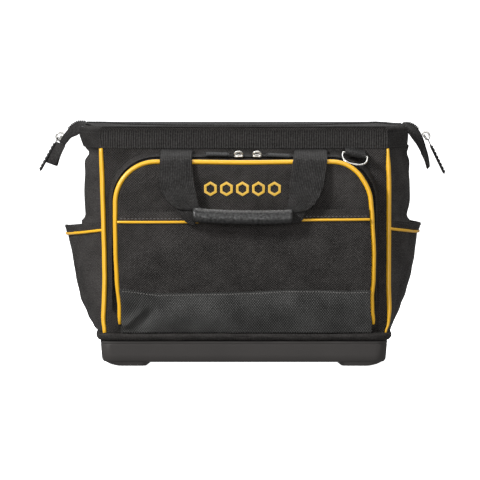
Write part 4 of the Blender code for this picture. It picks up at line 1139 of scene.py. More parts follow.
def build_tails():
    rows = steps(30)
    across = steps(24, -1.0, 1.0)
    for name, side in SIDES:
        panel(f"{name}_tail_tape", partial(tail_point, side), TAIL_CLOTH, across, rows, TAPE, "root",
              (f"{name}_zip_tail",), turn=side > 0)
        down = Vector((side * SLOPE_X, 0.0, -SLOPE_Z))
        out = Vector((side * SLOPE_Z, 0.0, SLOPE_X))
        for label, end in ENDS:
            line = [tail_point(side, 0.0, share) + Vector((0, end * 0.0007, 0))
                    for share in steps(22, 0.02, 0.62)]
            teeth(f"{name}_tail_teeth_{label}", line, end, out)
            hem = [tail_point(side, end * 0.80, share) + out * 0.0002 for share in rows]
            stitches(f"{name}_tail_stitches_{label}", [hem], out + Vector((0, end * 0.8, 0)), TAIL_SEWN)

        panel(f"{name}_end_tab", partial(tab_point, side), TAB_CLOTH, across, steps(16), WEBBING, "root",
              (f"{name}_tail_tab",), turn=side > 0, lip=0.5)
        box = [[tab_point(side, u, share) + out * 0.0002 for u in steps(12, -0.85, 0.85)]
               for share in (0.14, 0.30)]
        stitches(f"{name}_tab_stitches", box, out, TAB_SEWN)

        lift, slip, hang_x, hang_z, lean_angle = HANGS[side]
        seat = Vector((side * SEAT_X, 0.0, SEAT_Z)) + out * lift - down * slip
        build_slider(f"{name}_slider_cast", seat, down, out, MAIN_SLIDER, f"{name}_slider",
                     f"{name}_main_slider")
        pivot = Vector((side * (0.22542 + hang_x), 0.0, 0.2748 + hang_z))
        angle = math.radians(lean_angle)
        along = Vector((side * math.sin(angle), 0.0, -math.cos(angle)))
        face = Vector((side * math.cos(angle), 0.0, math.sin(angle)))
        build_pull(f"{name}_pull_grip", pivot, along, Vector((0, 1, 0)), face, MAIN_PULL,
                   f"{name}_pull", f"{name}_main_pull")


# Front pocket

# Share of the plain half width that the pocket's sides have by height
LEFT_WIDTH_SHARES = ((0.054, 0.966), (0.074, 0.966), (0.104, 0.986), (0.139, 0.996), (0.177, 1.000))
RIGHT_WIDTH_SHARES = ((0.054, 1.008), (0.067, 0.997), (0.086, 0.994), (0.106, 1.006), (0.139, 1.009),
                      (0.182, 0.996), (0.206, 0.985), (0.228, 0.978), (0.242, 0.986), (0.2504, 0.997))
GUSSET_HALF = 0.1655
GUSSET_TOP = 0.2612
GUSSET_CORNER = 0.058
SLIP_HALF = 0.1538
SLIP_GAP = 0.0010
SLIP_CLOTH = 0.0018
GUSSET_CLOTH = 0.0022
FACE_CLOTH = 0.0026
HEM_CLOTH = 0.0014
KICK_CLOTH = 0.0024
FACE_EDGE = 0.0010
HEM_BAND_HALF = 0.1532
KICK_HALF = 0.1545
# Height of the kick panel's top edge by x
KICK_LINE = ((-0.150, 0.0940), (-0.107, 0.0890), (-0.045, 0.0898), (0.0075, 0.0911), (0.056, 0.0938),
             (0.098, 0.0934), (0.126, 0.0921), (0.151, 0.0929))
ARCH_PIPING = 0.0028
HEM_PIPING = 0.0016
HEM_SEWN = (0.0045, 0.0026, 0.0007)
HEM_SEWN_HIGH = (0.0045, 0.0026, 0.0006)
KICK_SEWN = (0.0036, 0.0025, 0.0008)
KICK_SEAM_SEWN = (0.0036, 0.0028, 0.0006)


def lean(x, z):
    """The pocket's sides wander a little, as the photograph shows."""
    return x * curve(LEFT_WIDTH_SHARES if x < 0 else RIGHT_WIDTH_SHARES, z)


def arch_point(share, half, top, radius, foot):
    """Place on an arch: up its left side, round, across its top and down its right side."""
    run = share * 5
    shoulder = top - radius
    if run <= 1:
        return -half, mix(foot, shoulder, run)
    if run >= 4:
        return half, mix(shoulder, foot, run - 4)
    if 2 <= run <= 3:
        return mix(radius - half, half - radius, run - 2), top
    side, turn = (-1, run - 1) if run < 2 else (1, run - 3)
    angle = (math.pi if side < 0 else math.pi / 2) - turn * math.pi / 2
    return side * (half - radius) + radius * math.cos(angle), shoulder + radius * math.sin(angle)


def arch_shares(side_steps, corner_steps, top_steps):
    shares = [0.0]
    for stretch, count in enumerate((side_steps, corner_steps, top_steps, corner_steps, side_steps)):
        shares += [(stretch + index / count) / 5 for index in range(1, count + 1)]
    return shares


def arch_half(z, inset):
    """Half width of the pocket's face at a height, a little inside its edge."""
    radius = POCKET_CORNER - inset
    over = clamp01((z - (POCKET_TOP - inset - radius)) / radius)
    return POCKET_HALF - inset - radius + radius * math.sqrt(1 - over * over)


def gusset_arch(depth, lift=0.0):
    """Half width, top and corner radius of the gusset's arch at a depth."""
    return (mix(POCKET_HALF, GUSSET_HALF, depth) + lift, mix(POCKET_TOP, GUSSET_TOP, depth) + lift,
            mix(POCKET_CORNER, GUSSET_CORNER, depth) + lift)


def gusset_point(share, depth, lift=0.0):
    x, z = arch_point(share, *gusset_arch(depth, lift), FOOT_Z)
    front = pocket_y(z) - 0.0028 - 0.0018
    back = wall_y(z) + 0.0003
    x = mix(lean(x, z), x, depth)
    return Vector((x, -mix(max(front, back + 0.0003), back, depth), z))


def gusset_surface(share, depth):
    point = gusset_point(share, depth)
    part = 1.0 if share < 0.2 or share > 0.8 else 0.5
    soft = 0.0007 * rough(*point, 0.028, 4.0) * math.sin(math.pi * depth) * part
    fold = 0.0005 * bell(depth - 0.52, 0.07)
    sink = -0.0007 * bell(depth - 0.34, 0.08) - 0.0007 * bell(depth - 0.70, 0.08)
    return gusset_point(share, depth, min(soft + fold + sink, 0.0006))


def puff(x, z):
    """How far the pocket's face stands out of its plain surface."""
    edge = fade(abs(x), arch_half(z, 0.0), 0.022) * fade(z, POCKET_TOP, 0.020)
    soft = 0.0016 * rough(x, 0, z, 0.060, 11.0) + 0.0006 * rough(x, 0, z, 0.024, 5.0)
    return (0.0010 + soft) * edge


def panel_point(u, z):
    half = arch_half(z, FACE_EDGE)
    x = u * half
    roll = 0.0022 * (1 - fade(abs(x), half, 0.005)) + 0.0022 * (1 - fade(z, POCKET_TOP - FACE_EDGE, 0.005))
    return Vector((lean(x, z), -(pocket_y(z) + puff(x, z) - min(roll, 0.0024)), z))


def slip_swell(x, z):
    rise = clamp01((z - KICK_TOP) / (HEM_Z - KICK_TOP))
    u = clamp01(abs(x) / 0.1536)
    bumps = partial(rough, x, 3, z)
    soft = 0.0020 * bumps(0.070, 2.0) * math.sin(rise * math.pi) + 0.0006 * bumps(0.028, 7.0)
    return 0.0064 * (1 - (1 - rise) ** 3) * (1 - u ** 6) + soft * (1 - u ** 8)


def hem_height(x):
    return HEM_Z + 0.0002 + 0.0110 * x + 0.0004 * math.sin(x * 22.0)


def slip_front(x, z, lift=0.0):
    y = pocket_y(z) + SLIP_GAP + slip_swell(x, z) + SLIP_CLOTH + lift
    return Vector((lean(x, z), -y, z))


def slip_point(u, v):
    x = u * SLIP_HALF
    return slip_front(x, mix(curve(KICK_LINE, x) - 0.0045, hem_height(x), v))


def hem_band_point(u, v):
    x = u * HEM_BAND_HALF
    y = pocket_y(HEM_Z + 0.012 * v) + 0.0008 + slip_swell(x, HEM_Z) * (1 - 0.55 * v) + 0.0016
    return Vector((lean(x, HEM_Z), -y, hem_height(x) + 0.0004 + 0.0105 * v))


def kick_point(u, v):
    x = u * KICK_HALF
    top = curve(KICK_LINE, x)
    low = FOOT_Z + 0.0002 + 0.0004 * rough(x, 0, 0, 0.03, 1.0)
    z = mix(low, top, v)
    rise = (z - low) / (top - low)
    belly = 0.0028 * math.sin(math.pi * clamp01(rise * 0.92 + 0.04)) * (1 - abs(u) ** 6)
    soft = 0.0016 * rough(x, 5, z, 0.060, 9.0) * math.sin(math.pi * rise)
    fold_x = -0.150 + 0.022 * climb(z, 0.044, 0.030)
    fold = 0.0040 * bell(x - fold_x, 0.0060) * climb(z, 0.044, 0.008) * fade(z, 0.088, 0.030)
    fold -= 0.0026 * bell(x - fold_x - 0.014, 0.009) * bell(z - 0.060, 0.014)
    return Vector((lean(x, z), -(pocket_y(z) + 0.0042 + belly + soft + fold), z))


def build_pocket():
    panel("pocket_gusset_cloth", gusset_surface, GUSSET_CLOTH, arch_shares(26, 16, 40), steps(22), FABRIC,
          "root", ("pocket_gusset",))
    rows = steps(60, FOOT_Z, 0.2000)
    rows += [mix(0.2000, POCKET_TOP - 0.0011, math.sin(s * math.pi / 2)) for s in steps(26)[1:]]
    panel("pocket_face_cloth", panel_point, FACE_CLOTH, steps(84, -1.0, 1.0), rows, FABRIC, "root",
          ("pocket_front_panel",))
    line = []
    for share in arch_shares(34, 20, 46):
        x, z = arch_point(share, POCKET_HALF, POCKET_TOP, POCKET_CORNER, 0.0520)
        droop = 0.0009 * bell(x, 0.05) if z > 0.24 else 0.0
        line.append(Vector((lean(x, z), -(pocket_y(z) - 0.0013), z - droop)))
    tube("pocket_arch_cord", line, lambda s: ARCH_PIPING * mix(0.6, 1.0, smooth(min(s, 1 - s) / 0.012)), GOLD,
         "root", ("pocket_arch_piping",), 14)
    panel("slip_pocket_cloth", slip_point, SLIP_CLOTH, steps(80, -1.0, 1.0), steps(40), FABRIC, "root",
          ("slip_pocket_panel",))
    places = [u * SLIP_HALF for u in steps(70, -1.0, 1.0)]
    tube("slip_hem_cord", [slip_front(x, hem_height(x) - 0.0014, 0.0006) for x in places], HEM_PIPING, GOLD,
         "root", ("slip_hem_piping",))
    panel("slip_hem_band", hem_band_point, HEM_CLOTH, steps(80, -1.0, 1.0), steps(6), FABRIC)
    low, high = [[hem_band_point(u, v) for u in steps(90, -0.99, 0.99)] for v in (0.22, 0.86)]
    stitches("slip_hem_stitches", [low], FORWARD, HEM_SEWN, GREY_THREAD)
    stitches("slip_hem_stitches_high", [high], FORWARD, HEM_SEWN_HIGH)
    panel("kick_cloth", kick_point, KICK_CLOTH, steps(96, -1.0, 1.0), steps(36), KICK, "root",
          ("kick_panel",))
    off = FORWARD * 0.0001
    top = [kick_point(u, 0.965) + off for u in steps(90, -0.985, 0.985)]
    stitches("kick_top_stitches", [top], Vector((0, -1, 0.1)), KICK_SEWN, GREY_THREAD)
    seam = [kick_point(-0.006, v) + off for v in steps(20, 0.05, 0.97)]
    stitches("kick_middle_seam", [seam], FORWARD, KICK_SEAM_SEWN)


# First mark's pixel and the step to the next one
MARK_PIXEL = (210.5, 188.5)
MARK_STEP = 16.0
MARK_Z = 0.2176
# Radius and lift off the cloth of the sections of a mark's stroke
MARK_STROKE = ((0.0090, 0.0002), (0.0088, 0.0009), (0.0072, 0.0013), (0.0056, 0.0009), (0.0054, 0.0002))
MARK_UV_STEP = 0.0012


def build_motif():
    """Plain row of hexagons in gold satin stitch on the pocket's face."""
    mesh = bmesh.new()
    corner = math.pi / 6
    for index in range(5):
        middle = photo(MARK_PIXEL[0] + index * MARK_STEP, MARK_PIXEL[1], -pocket_y(0.218)).x
        rings = []
        for radius, lift in MARK_STROKE:
            ring = []
            for angle in circle(36):
                reach = radius * math.cos(corner) / math.cos((angle + corner) % (2 * corner) - corner)
                x = middle + reach * math.cos(angle)
                z = MARK_Z + reach * math.sin(angle)
                ring.append((x, -(pocket_y(z) + puff(x, z)) - lift, z))
            rings.append(ring)
        skin(mesh, rings, True, lambda i, k: (k * MARK_UV_STEP, (k + 1) * MARK_UV_STEP, 0, 0.001))
    make("gold_hexagons", mesh, SATIN, sharp=50.0)


# Pocket zip

CHAIN_DEPTH = 0.52
TAPE_CLOTH = 0.0010
TAPE_SEWN = (0.0036, 0.0024, 0.0005)
ZIP_RISE = Vector((0, 0.95872, 0.28435))
ZIP_OUT = Vector((0, -0.28435, 0.95872))
POCKET_SEAT = Vector((0, -0.09396, 0.25812))
PULL_WIDE = Vector((0, 0.80, 0.60))
# Seat and dip in degrees of each slider
POCKET_SLIDERS = (("left", -1, -0.0066, 1.5), ("right", 1, 0.0160, -5.0))


def chain_point(share):
    """Middle of the pocket's zip chain, on the gusset, and the direction out of it."""
    half, top, radius = gusset_arch(CHAIN_DEPTH)
    x, z = arch_point(share, half, top, radius, FOOT_Z)
    side = 1 if x > 0 else -1
    bend = 0.054
    out = Vector((x - (half - bend) * side if abs(x) > half - bend else 0.0, 0, max(z - (top - bend), 0.0)))
    if share < 0.2 or share > 0.8:
        out = Vector((side, 0, 0))
    return Vector((x, gusset_point(share, CHAIN_DEPTH).y, z)), out.normalized()


def tape_point(way, share, v):
    point, out = chain_point(share)
    return point + Vector((0, way, 0)) * (0.0012 + 0.0054 * v) + out * (0.0006 - 0.0004 * v)


def build_pocket_zip():
    shares = [s for s in arch_shares(40, 24, 90) if 0.03 < s < 0.97]
    for label, way in ENDS:
        panel(f"pocket_tape_{label}", partial(tape_point, way), TAPE_CLOTH, shares[::way], steps(4), FABRIC,
              "root", ("pocket_zip_chain",) if way > 0 else ())
        line = [tape_point(way, s, 0.62) + chain_point(s)[1] * 0.0001 for s in shares]
        stitches(f"pocket_tape_stitches_{label}", [line], Vector((0, way * 0.25, 1)), TAPE_SEWN)
    crown = [point + out * 0.0003 for point, out in map(chain_point, shares)]
    tube("pocket_zip_coil", crown, lambda s: mix(0.0003, 0.0009, fade(abs(s - 0.5), 0.20, 0.04)), TEETH,
         sides=8, flat=1.6, up=Vector((0, 1, 0)))
    for name, side, seat_x, dip in POCKET_SLIDERS:
        body = f"{name}_pocket_slider_body"
        seat = Vector((seat_x, 0, 0)) + POCKET_SEAT - ZIP_OUT * 0.0004 - ZIP_RISE * 0.0068
        build_slider(f"{name}_pocket_slider_cast", seat, Vector((-side, 0, 0)), ZIP_OUT, POCKET_SLIDER, body,
                     f"{name}_pocket_slider")
        pivot = seat + Vector((side * 0.0060, 0, 0)) + ZIP_OUT * 0.0030
        angle = math.radians(dip)
        along = (Vector((side * math.cos(angle), 0, 0)) + ZIP_OUT * math.sin(angle) * 0.6).normalized()
        face = along.cross(PULL_WIDE)
        face = (face if face.z > 0 else -face).normalized()
        build_pull(f"{name}_pocket_pull_grip", pivot, along, PULL_WIDE, face, POCKET_PULL,
                   f"{name}_pocket_pull_body", f"{name}_pocket_pull")


# Side pockets

# Half width of each side pocket's outside by height, and where its crease lies from front to back
LEFT_REACH = ((0.0415, 0.1836), (0.0573, 0.1918), (0.0793, 0.2012), (0.1061, 0.2070), (0.1305, 0.2118),
              (0.1562, 0.2174), (0.1690, 0.2204))
RIGHT_REACH = ((0.0415, 0.1820), (0.0695, 0.1938), (0.0854, 0.2000), (0.1122, 0.2074), (0.1305, 0.2112),
               (0.1586, 0.2140), (0.1690, 0.2176))
LEFT_CREASE_SHARES = ((0.060, -0.18), (0.109, -0.30), (0.140, -0.52), (0.164, -0.72))
RIGHT_CREASE_SHARES = ((0.052, -0.71), (0.070, -0.71), (0.096, -0.67), (0.127, -0.57), (0.160, -0.50))
RIM_SEWN = (0.0042, 0.0027, 0.0006)
RIM_PIPING = 0.0018
RIM_WIDE = 0.0096
RIM_CLOTH = 0.0012
RIM_LIFT = 0.0011
SIDE_POCKET_CLOTH = 0.0022


def rim_height(side, t):
    if side > 0:
        return 0.1702 + 0.0070 * t * t - 0.0030 * max(t, 0.0)
    return 0.1674 + 0.0080 * t * t - 0.0090 * max(t, 0.0)


def side_pocket_surface(side, t, z, lift=0.0):
    """Outside of a side pocket; t runs from -1 at the front to 1 at the back."""
    t = max(-1.0, min(1.0, t))
    y = t * (wall_y(z) - 0.0020)
    base = corner_at(side, z)
    inner = side_x(z, t) - corner_x(z) + base + 0.0030 * (1 - abs(t) ** 10) + 0.0010
    outer = curve(LEFT_REACH if side < 0 else RIGHT_REACH, z)
    x = max(inner, base + (outer - base) * (1 - abs(t) ** 2.2))
    rise = clamp01((z - FOOT_Z) / 0.128)
    soft = 0.0010 * rough(side * 0.2, y, z, 0.045, 6.0) * math.sin(math.pi * clamp01(rise * 0.9))
    past = t - curve(LEFT_CREASE_SHARES if side < 0 else RIGHT_CREASE_SHARES, z)
    crease = 0.0021 * bell(past, 0.075) * climb(z, 0.050, 0.02) * fade(z, 0.172, 0.02)
    move = (soft - crease + 0.0010 * bell(past - 0.13, 0.07)) * (1 - abs(t) ** 4)
    return Vector((side * (max(inner - 0.0004, x + move) + lift), y, z))


def rim_point(side, t, drop, lift):
    return side_pocket_surface(side, t, rim_height(side, t) - drop, lift)


def build_side_pockets():
    for name, side in SIDES:
        along = steps(76, -1.0, 1.0)[::side]

        def cloth_point(t, rise, side=side):
            return side_pocket_surface(side, t, mix(FOOT_Z + 0.0001, rim_height(side, t), rise))

        def strip_point(t, rise, side=side):
            return rim_point(side, t, mix(RIM_WIDE, -0.0002, rise), RIM_LIFT)

        panel(f"{name}_side_pocket_cloth", cloth_point, SIDE_POCKET_CLOTH, along, steps(46), SIDE_FABRIC,
              "root", (f"{name}_side_pocket",))
        panel(f"{name}_side_pocket_hem", strip_point, RIM_CLOTH, along, steps(6), BINDING)
        line = [rim_point(side, t, 0.0100, 0.0012) for t in steps(70, -0.998, 0.998)]
        tube(f"{name}_side_pocket_cord", line, RIM_PIPING, GOLD, "root", (f"{name}_side_pocket_piping",))
        for label, drop in (("low", 0.0068), ("high", 0.0018)):
            seam = [rim_point(side, t, drop, RIM_LIFT) for t in steps(90, -0.97, 0.97)]
            stitches(f"{name}_side_pocket_stitches_{label}", [seam], Vector((side, 0, 0)), RIM_SEWN)


# Back kick panel and inner organiser

BACK_KICK_HALF = 0.1655
BACK_KICK_CLOTH = 0.0022
ORGANISER_HALF = 0.1395
ORGANISER_LOW = 0.0450
ORGANISER_TOP = 0.1500
ORGANISER_DEEP = 0.0115
ORGANISER_CLOTH = 0.0016
ORGANISER_HEM = 0.0017
DIVIDER_SHARE = 0.34
ORGANISER_SEWN = (0.0040, 0.0028, 0.0007)


def back_kick_point(u, v):
    z = mix(FOOT_Z + 0.0002, KICK_TOP + 0.0006, v)
    swell = 0.0006 * (1 + rough(u * 0.16, 9, z, 0.05, 3.0)) * math.sin(math.pi * v) * (1 - u ** 6)
    return Vector((u * BACK_KICK_HALF, wall_y(z) + 0.0003 + 0.0024 + swell, z))


def organiser_point(u, v):
    z = mix(ORGANISER_LOW, ORGANISER_TOP, v)
    slack = (1 - (1 - v) ** 2) * (1 - u ** 4) * (1 - 0.35 * bell(abs(u) - DIVIDER_SHARE, 0.05))
    y = wall_y(z) - 0.0040 - 0.0005 - 0.0022 - ORGANISER_DEEP * slack
    return Vector((u * ORGANISER_HALF, y, z))


def build_back():
    panel("back_kick_cloth", back_kick_point, BACK_KICK_CLOTH, steps(60, 1.0, -1.0), steps(18), KICK, "root",
          ("back_kick_panel",))
    top = [back_kick_point(u, 0.955) for u in steps(90, -0.985, 0.985)]
    stitches("back_kick_stitches", [top], Vector((0, 1, 0.1)), KICK_SEWN, GREY_THREAD)
    panel("organiser_cloth", organiser_point, ORGANISER_CLOTH, steps(70, -1.0, 1.0), steps(24), LINING,
          "root", ("inner_organiser",))
    hem = [organiser_point(u, 0.985) + Vector((0, 0.0008, 0)) for u in steps(60, -0.99, 0.99)]
    tube("organiser_hem", hem, ORGANISER_HEM, BINDING, sides=10)
    for label, side in SIDES:
        line = [organiser_point(side * DIVIDER_SHARE, v) for v in steps(24, 0.04, 0.95)]
        stitches(f"organiser_stitches_{label}", [line], FORWARD, ORGANISER_SEWN, GREY_THREAD)


# Handles

# Pixels of the outer and inner edge of each strap, row by row from its fold down
LEFT_LEG = (
    ((160.5, 156.5), (191.5, 156.5)), ((160.3, 165.0), (191.7, 165.0)), ((160.0, 176.0), (192.6, 175.0)),
    ((160.0, 186.0), (194.2, 185.0)), ((162.2, 192.0), (195.4, 191.5)), ((165.6, 197.0), (196.6, 197.5)),
    ((170.4, 203.2), (197.8, 203.0)), ((178.5, 208.8), (199.2, 206.8)), ((190.0, 210.0), (203.0, 208.0)),
)
LEFT_UNDER = (
    ((163.0, 190.0), (190.0, 186.0)), ((166.4, 196.6), (193.0, 194.0)), ((171.8, 204.0), (195.0, 201.0)),
    ((178.0, 212.5), (197.0, 206.0)), ((185.4, 221.2), (199.0, 208.5)), ((193.5, 225.0), (204.0, 209.0)),
)
RIGHT_LEG = (
    ((326.7, 158.0), (294.0, 157.5)), ((326.2, 166.0), (292.8, 166.0)), ((325.0, 176.0), (291.2, 176.0)),
    ((323.5, 184.0), (290.4, 184.0)), ((321.4, 191.5), (289.9, 191.0)), ((317.6, 199.0), (289.3, 197.5)),
    ((312.4, 206.0), (288.6, 203.0)), ((304.5, 210.8), (287.4, 207.0)), ((294.0, 212.4), (283.0, 208.6)),
)
RIGHT_UNDER = (
    ((322.0, 188.0), (295.0, 186.0)), ((318.6, 196.6), (292.0, 194.0)), ((313.4, 204.5), (290.0, 201.0)),
    ((306.0, 213.0), (289.0, 206.0)), ((300.5, 221.6), (287.0, 209.0)), ((291.0, 222.4), (282.0, 210.0)),
)
# Pixels of the band across the grip and of the grip's two ends
CROSS_LEFT, CROSS_RIGHT, CROSS_TOP, CROSS_LOW = 197.0, 289.0, 211.0, 219.5
GRIP_LEFT_PIXEL = (192.6, 215.0)
GRIP_RIGHT_PIXEL = (293.0, 216.6)
GRIP_Y = -0.1420
GRIP_DOWN = Vector((0, -0.284, -0.9588)).normalized()
GRIP_OUT = Vector((0, -0.9588, 0.284))
GRIP_HEIGHT = 0.0178
GRIP_DEPTH = 0.0160
GRIP_SEWN = (0.0042, 0.0028, 0.0006)
UNDER_THICK = 0.0019
UNDER_BEHIND = 0.0028
CROSS_THICK = 0.0022
# The strap's run from under the band over the pocket's top
FOLD = [Vector((0.0, y, z)) for y, z in ((-0.0790, 0.2640), (-0.0860, 0.2628), (-0.1000, 0.2602),
                                         (-0.1120, 0.2580))]
ROOT_SHARE = 0.30
# Depths of the strap at its fold and just below, and heights where it turns over and hangs free
FOLD_Y = -0.1180
HANG_Y = -0.1222
TURN_Z = 0.2585
TURN_RUN = 0.006
HANG_Z = 0.2560
HANG_RUN = 0.0690
# Rough depth of a leg, for its first look-up
LEG_Y = -0.1300
ROOT_OUTER = 0.1012
ROOT_INNER = 0.0632
# Back handle: where its straps leave the band, its grip's middle, and x of each edge by share of the drop
BACK_TOP = Vector((0.0, 0.0800, 0.2628))
BACK_GRIP = Vector((0.0, wall_y(0.151) + 0.0085, 0.1510))
BACK_GRIP_HALF = 0.0612
BACK_OUTER = ((ROOT_OUTER, 0.0), (ROOT_OUTER, 0.40), (0.1010, 0.72), (0.0975, 0.86), (0.0860, 0.965),
              (0.0720, 1.03), (0.0560, 1.055))
BACK_INNER = ((ROOT_INNER, 0.0), (ROOT_INNER, 0.40), (ROOT_INNER, 0.70), (ROOT_INNER, 0.83), (0.0618, 0.91),
              (0.0590, 0.945), (0.0520, 0.955))


def path_point(path, share):
    """Point of a path at a share of its stretches."""
    place = clamp01(share) * (len(path) - 1)
    index = min(int(place), len(path) - 2)
    return path[index].lerp(path[index + 1], place - index)


def hang_y(z):
    """Depth of the hanging handle at a height."""
    return mix(HANG_Y, GRIP_Y - 0.0008, clamp01((HANG_Z - z) / HANG_RUN))


def leg_point(rows, behind, u, share):
    """Point of a handle leg: u runs from its outer edge to its inner one."""
    outer, inner = [table_point([row[pick] for row in rows], share) for pick in (0, 1)]
    px, py = mix(outer[0], inner[0], u), mix(outer[1], inner[1], u)
    z = photo(px, py, LEG_Y).z
    y = mix(FOLD_Y, hang_y(z), fade(z, TURN_Z, TURN_RUN))
    place = photo(px, py, y)
    cup = 0.0006 * math.sin(math.pi * u) + 0.0004 * math.sin(share * 9.0 + u * 2.0)
    return Vector((place.x, y - cup + behind, place.z))


def strap_point(rows, u, share):
    """Point of a strap, from under the band over its fold and down its leg."""
    if share >= ROOT_SHARE:
        return leg_point(rows, 0.0, u, (share - ROOT_SHARE) / (1 - ROOT_SHARE))
    share = share / ROOT_SHARE * 0.999
    top_x = leg_point(rows, 0.0, u, 0.0).x
    point = path_point(FOLD, share)
    point.x = mix(math.copysign(mix(ROOT_OUTER, ROOT_INNER, u), top_x), top_x, share)
    return point


def cross_point(u, v):
    place = photo(mix(CROSS_LEFT, CROSS_RIGHT, u), mix(CROSS_TOP, CROSS_LOW, v), GRIP_Y)
    return Vector((place.x, GRIP_Y - 0.0012, place.z))


def merge(name, parts, look):
    """One object from several of the same look, without a body."""
    mesh = bmesh.new()
    for part in parts:
        mesh.from_mesh(part.data)
        bpy.data.objects.remove(part)
    bmesh.ops.translate(mesh, verts=mesh.verts, vec=(0.0, -SHIFT, 0.0))
    return make(name, mesh, look, None, (), 50.0, False)


def squared(value):
    """A cosine or sine for a circle that is a little squared."""
    return math.copysign(abs(value) ** 0.82, value)


def grip_shape(name, middle, across, down, out, half_length, sag, body, nodes):
    """Padded grip with a stitched overlap low on its outer side."""
    def centre_at(share):
        return middle + across * share * half_length + down * sag * (1 - share * share)

    sections = []
    for share in steps(44, -1.0, 1.0):
        share = math.copysign(1 - (1 - abs(share)) ** 1.6, share)
        end = clamp01((1 - abs(share)) / 0.055)
        size = mix(0.76, 1.0, math.sqrt(max(0.0, 1 - (1 - end) ** 2)))
        size *= 1.0 + 0.035 * rough(share * half_length, 0, 1, 0.020, 8.0)
        ring = []
        for angle in circle(32):
            groove = 1.0 - 0.19 * bell(angle - 0.72, 0.12) - 0.05 * bell(angle + 0.55, 0.20)
            reach = out * GRIP_DEPTH / 2 * squared(math.cos(angle))
            reach -= down * GRIP_HEIGHT / 2 * squared(math.sin(angle))
            ring.append(centre_at(share) + reach * size * groove)
        sections.append(ring)
    cover = loft(name, sections, GRIP, body, nodes, sharp=60.0)
    edge = out * GRIP_DEPTH * 0.46 - down * GRIP_HEIGHT * 0.36
    line = [centre_at(share) + edge for share in steps(60, -0.955, 0.955)]
    stitches(f"{name}_stitches", [line], out - down, GRIP_SEWN, GREY_THREAD, body)
    return cover


def build_front_handle():
    parts = []
    for name, rows, under, turn in (("left", LEFT_LEG, LEFT_UNDER, True),
                                    ("right", RIGHT_LEG, RIGHT_UNDER, False)):
        shares = steps(12, 0.0, ROOT_SHARE) + steps(46, ROOT_SHARE, 1.0)[1:]
        parts.append(panel(f"{name}_strap", partial(strap_point, rows), STRAP_THICK, steps(14), shares,
                           WEBBING, None, turn=turn))
        parts.append(panel(f"{name}_strap_under", partial(leg_point, under, UNDER_BEHIND), UNDER_THICK,
                           steps(14), steps(26), WEBBING, None, turn=turn))
    parts.append(panel("cross_strap", cross_point, CROSS_THICK, steps(30), steps(6), WEBBING, None,
                       turn=True))
    strap = merge("front_webbing", parts, WEBBING)
    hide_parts("left_strap_root", "right_strap_root", "front_handle_webbing")
    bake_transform(strap)
    left_end = photo(*GRIP_LEFT_PIXEL, GRIP_Y)
    right_end = photo(*GRIP_RIGHT_PIXEL, GRIP_Y)
    run = right_end - left_end
    grip = grip_shape("front_grip_cover", (left_end + right_end) / 2, run.normalized(), GRIP_DOWN, GRIP_OUT,
                      run.length / 2, 0.0022, "front_handle", ("front_handle_grip",))


def build_back_handle():
    run = BACK_GRIP - BACK_TOP
    down = run.normalized()
    out = Vector((0.0, -down.z, down.y))

    def back_leg(side, u, share):
        outer, inner = table_point(BACK_OUTER, share), table_point(BACK_INNER, share)
        x, drop = mix(outer[0], inner[0], u), mix(outer[1], inner[1], u) * run.length
        bow = 0.0008 * math.sin(math.pi * clamp01(drop / run.length))
        start = 0.0001 + 0.0009 * smooth(drop / 0.030)
        return BACK_TOP + Vector((side * x, 0, 0)) + down * drop + out * (start + bow)

    parts = [panel(f"back_{name}_strap", partial(back_leg, side), STRAP_THICK, steps(14), steps(50), WEBBING,
                   None, turn=side < 0) for name, side in SIDES]
    strap = merge("back_webbing", parts, WEBBING)
    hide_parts("back_handle_webbing")
    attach(strap, "back_handle")
    cover = grip_shape("back_grip_cover", BACK_GRIP, Vector((-1, 0, 0)), down, out, BACK_GRIP_HALF, 0.0006,
                       "back_handle", ("back_handle_grip",))


# D-rings

RING_WIRE = 0.0012
RING_HALF = 0.0330 / 2 - RING_WIRE
RING_LENGTH = 0.0210 - 2 * RING_WIRE
RING_CORNER = 0.0125
RING_X = 0.1361
FRONT_RING_AT = Vector((RING_X, -0.0920, 0.2580))
BACK_RING_AT = Vector((-RING_X, wall_y(0.2570) + 0.0003 + 0.0030, 0.2570))
RING_TAB_HALF = 0.0125
RING_TAB_THICK = 0.0013


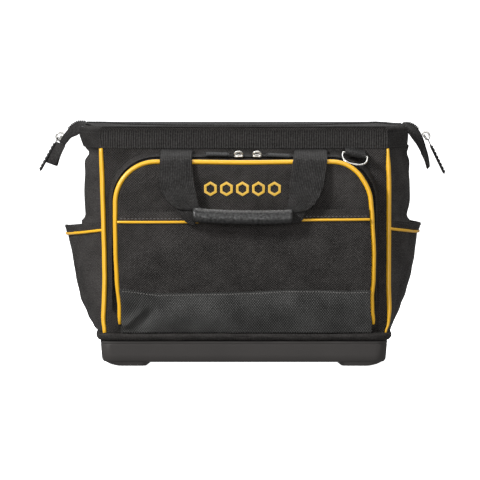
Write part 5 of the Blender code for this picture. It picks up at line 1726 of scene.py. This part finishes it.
def ring_outline():
    """The ring's wire in its own plane: its straight bar, then round its free end."""
    straight = RING_LENGTH - RING_CORNER
    outline = [(x, 0.0) for x in steps(10, -RING_HALF, RING_HALF)]
    outline += [(RING_HALF, y) for y in steps(3, 0.0, straight)[1:]]
    for side, start in ((1, 0.0), (-1, 0.25)):
        for share in steps(10):
            angle = math.tau * (start + share / 4)
            outline.append((side * (RING_HALF - RING_CORNER) + RING_CORNER * math.cos(angle),
                            straight + RING_CORNER * math.sin(angle)))
    return outline + [(-RING_HALF, y) for y in steps(3, straight, 0.0)[1:-1]]


def build_ring(label, end, pivot, hang, roll, wrap, turns, head, foot):
    """Wire ring and the webbing tab round its bar.

    hang and roll are in degrees; head and foot are the tab's flat ends as (y, z).
    """
    roll, hang = math.radians(roll), math.radians(hang)
    axis = Vector((math.cos(roll), 0.0, -math.sin(roll)))
    up = Vector((-axis.z, 0.0, axis.x))
    away = Vector((0.0, end, 0.0))
    down = away * math.sin(hang) - up * math.cos(hang)
    wire = []
    for x, y in ring_outline():
        point = pivot + axis * x + down * y
        if not wire or (point - wire[-1]).length > 0.0002:
            wire.append(point)
    tube(f"{label}_ring_wire", wire, RING_WIRE, NICKEL, f"{label}_ring", (f"{label}_d_ring",), 14,
         cyclic=True)
    path = [Vector((pivot.x, y, z)) for y, z in head]
    path += [pivot + (up * math.cos(angle) + away * math.sin(angle)) * wrap for angle in steps(16, *turns)]
    path += [Vector((pivot.x, y, z)) for y, z in foot]
    panel(f"{label}_tab_cloth", lambda u, v: path_point(path, v) + axis * RING_TAB_HALF * u,
          RING_TAB_THICK, steps(10, -end, end), steps(len(path) - 1), WEBBING, "root", (f"{label}_ring_tab",))


def build_rings():
    build_ring("front", FRONT, FRONT_RING_AT, 53.0, 12.0, 0.0034, (0.30, 2.9),
               ((-0.0768, 0.2650), (-0.0830, 0.2634)), ((-0.0840, 0.2600),))
    build_ring("back", BACK, BACK_RING_AT, 9.0, 0.0, 0.0031, (1.10, 3.3),
               ((0.0772, 0.2652), (0.0812, 0.2630)), ())


# Making the scene

set_stage()
build_base()
build_walls()
build_band()
build_flaps()
build_tails()
build_pocket()
build_motif()
build_pocket_zip()
build_side_pockets()
build_back()
build_front_handle()
build_back_handle()
build_rings()
for node, look in (("base_board", BOARD), ("front_mouth_stay", STEEL), ("back_mouth_stay", STEEL)):
    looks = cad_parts[node].data.materials
    looks.clear()
    looks.append(look)
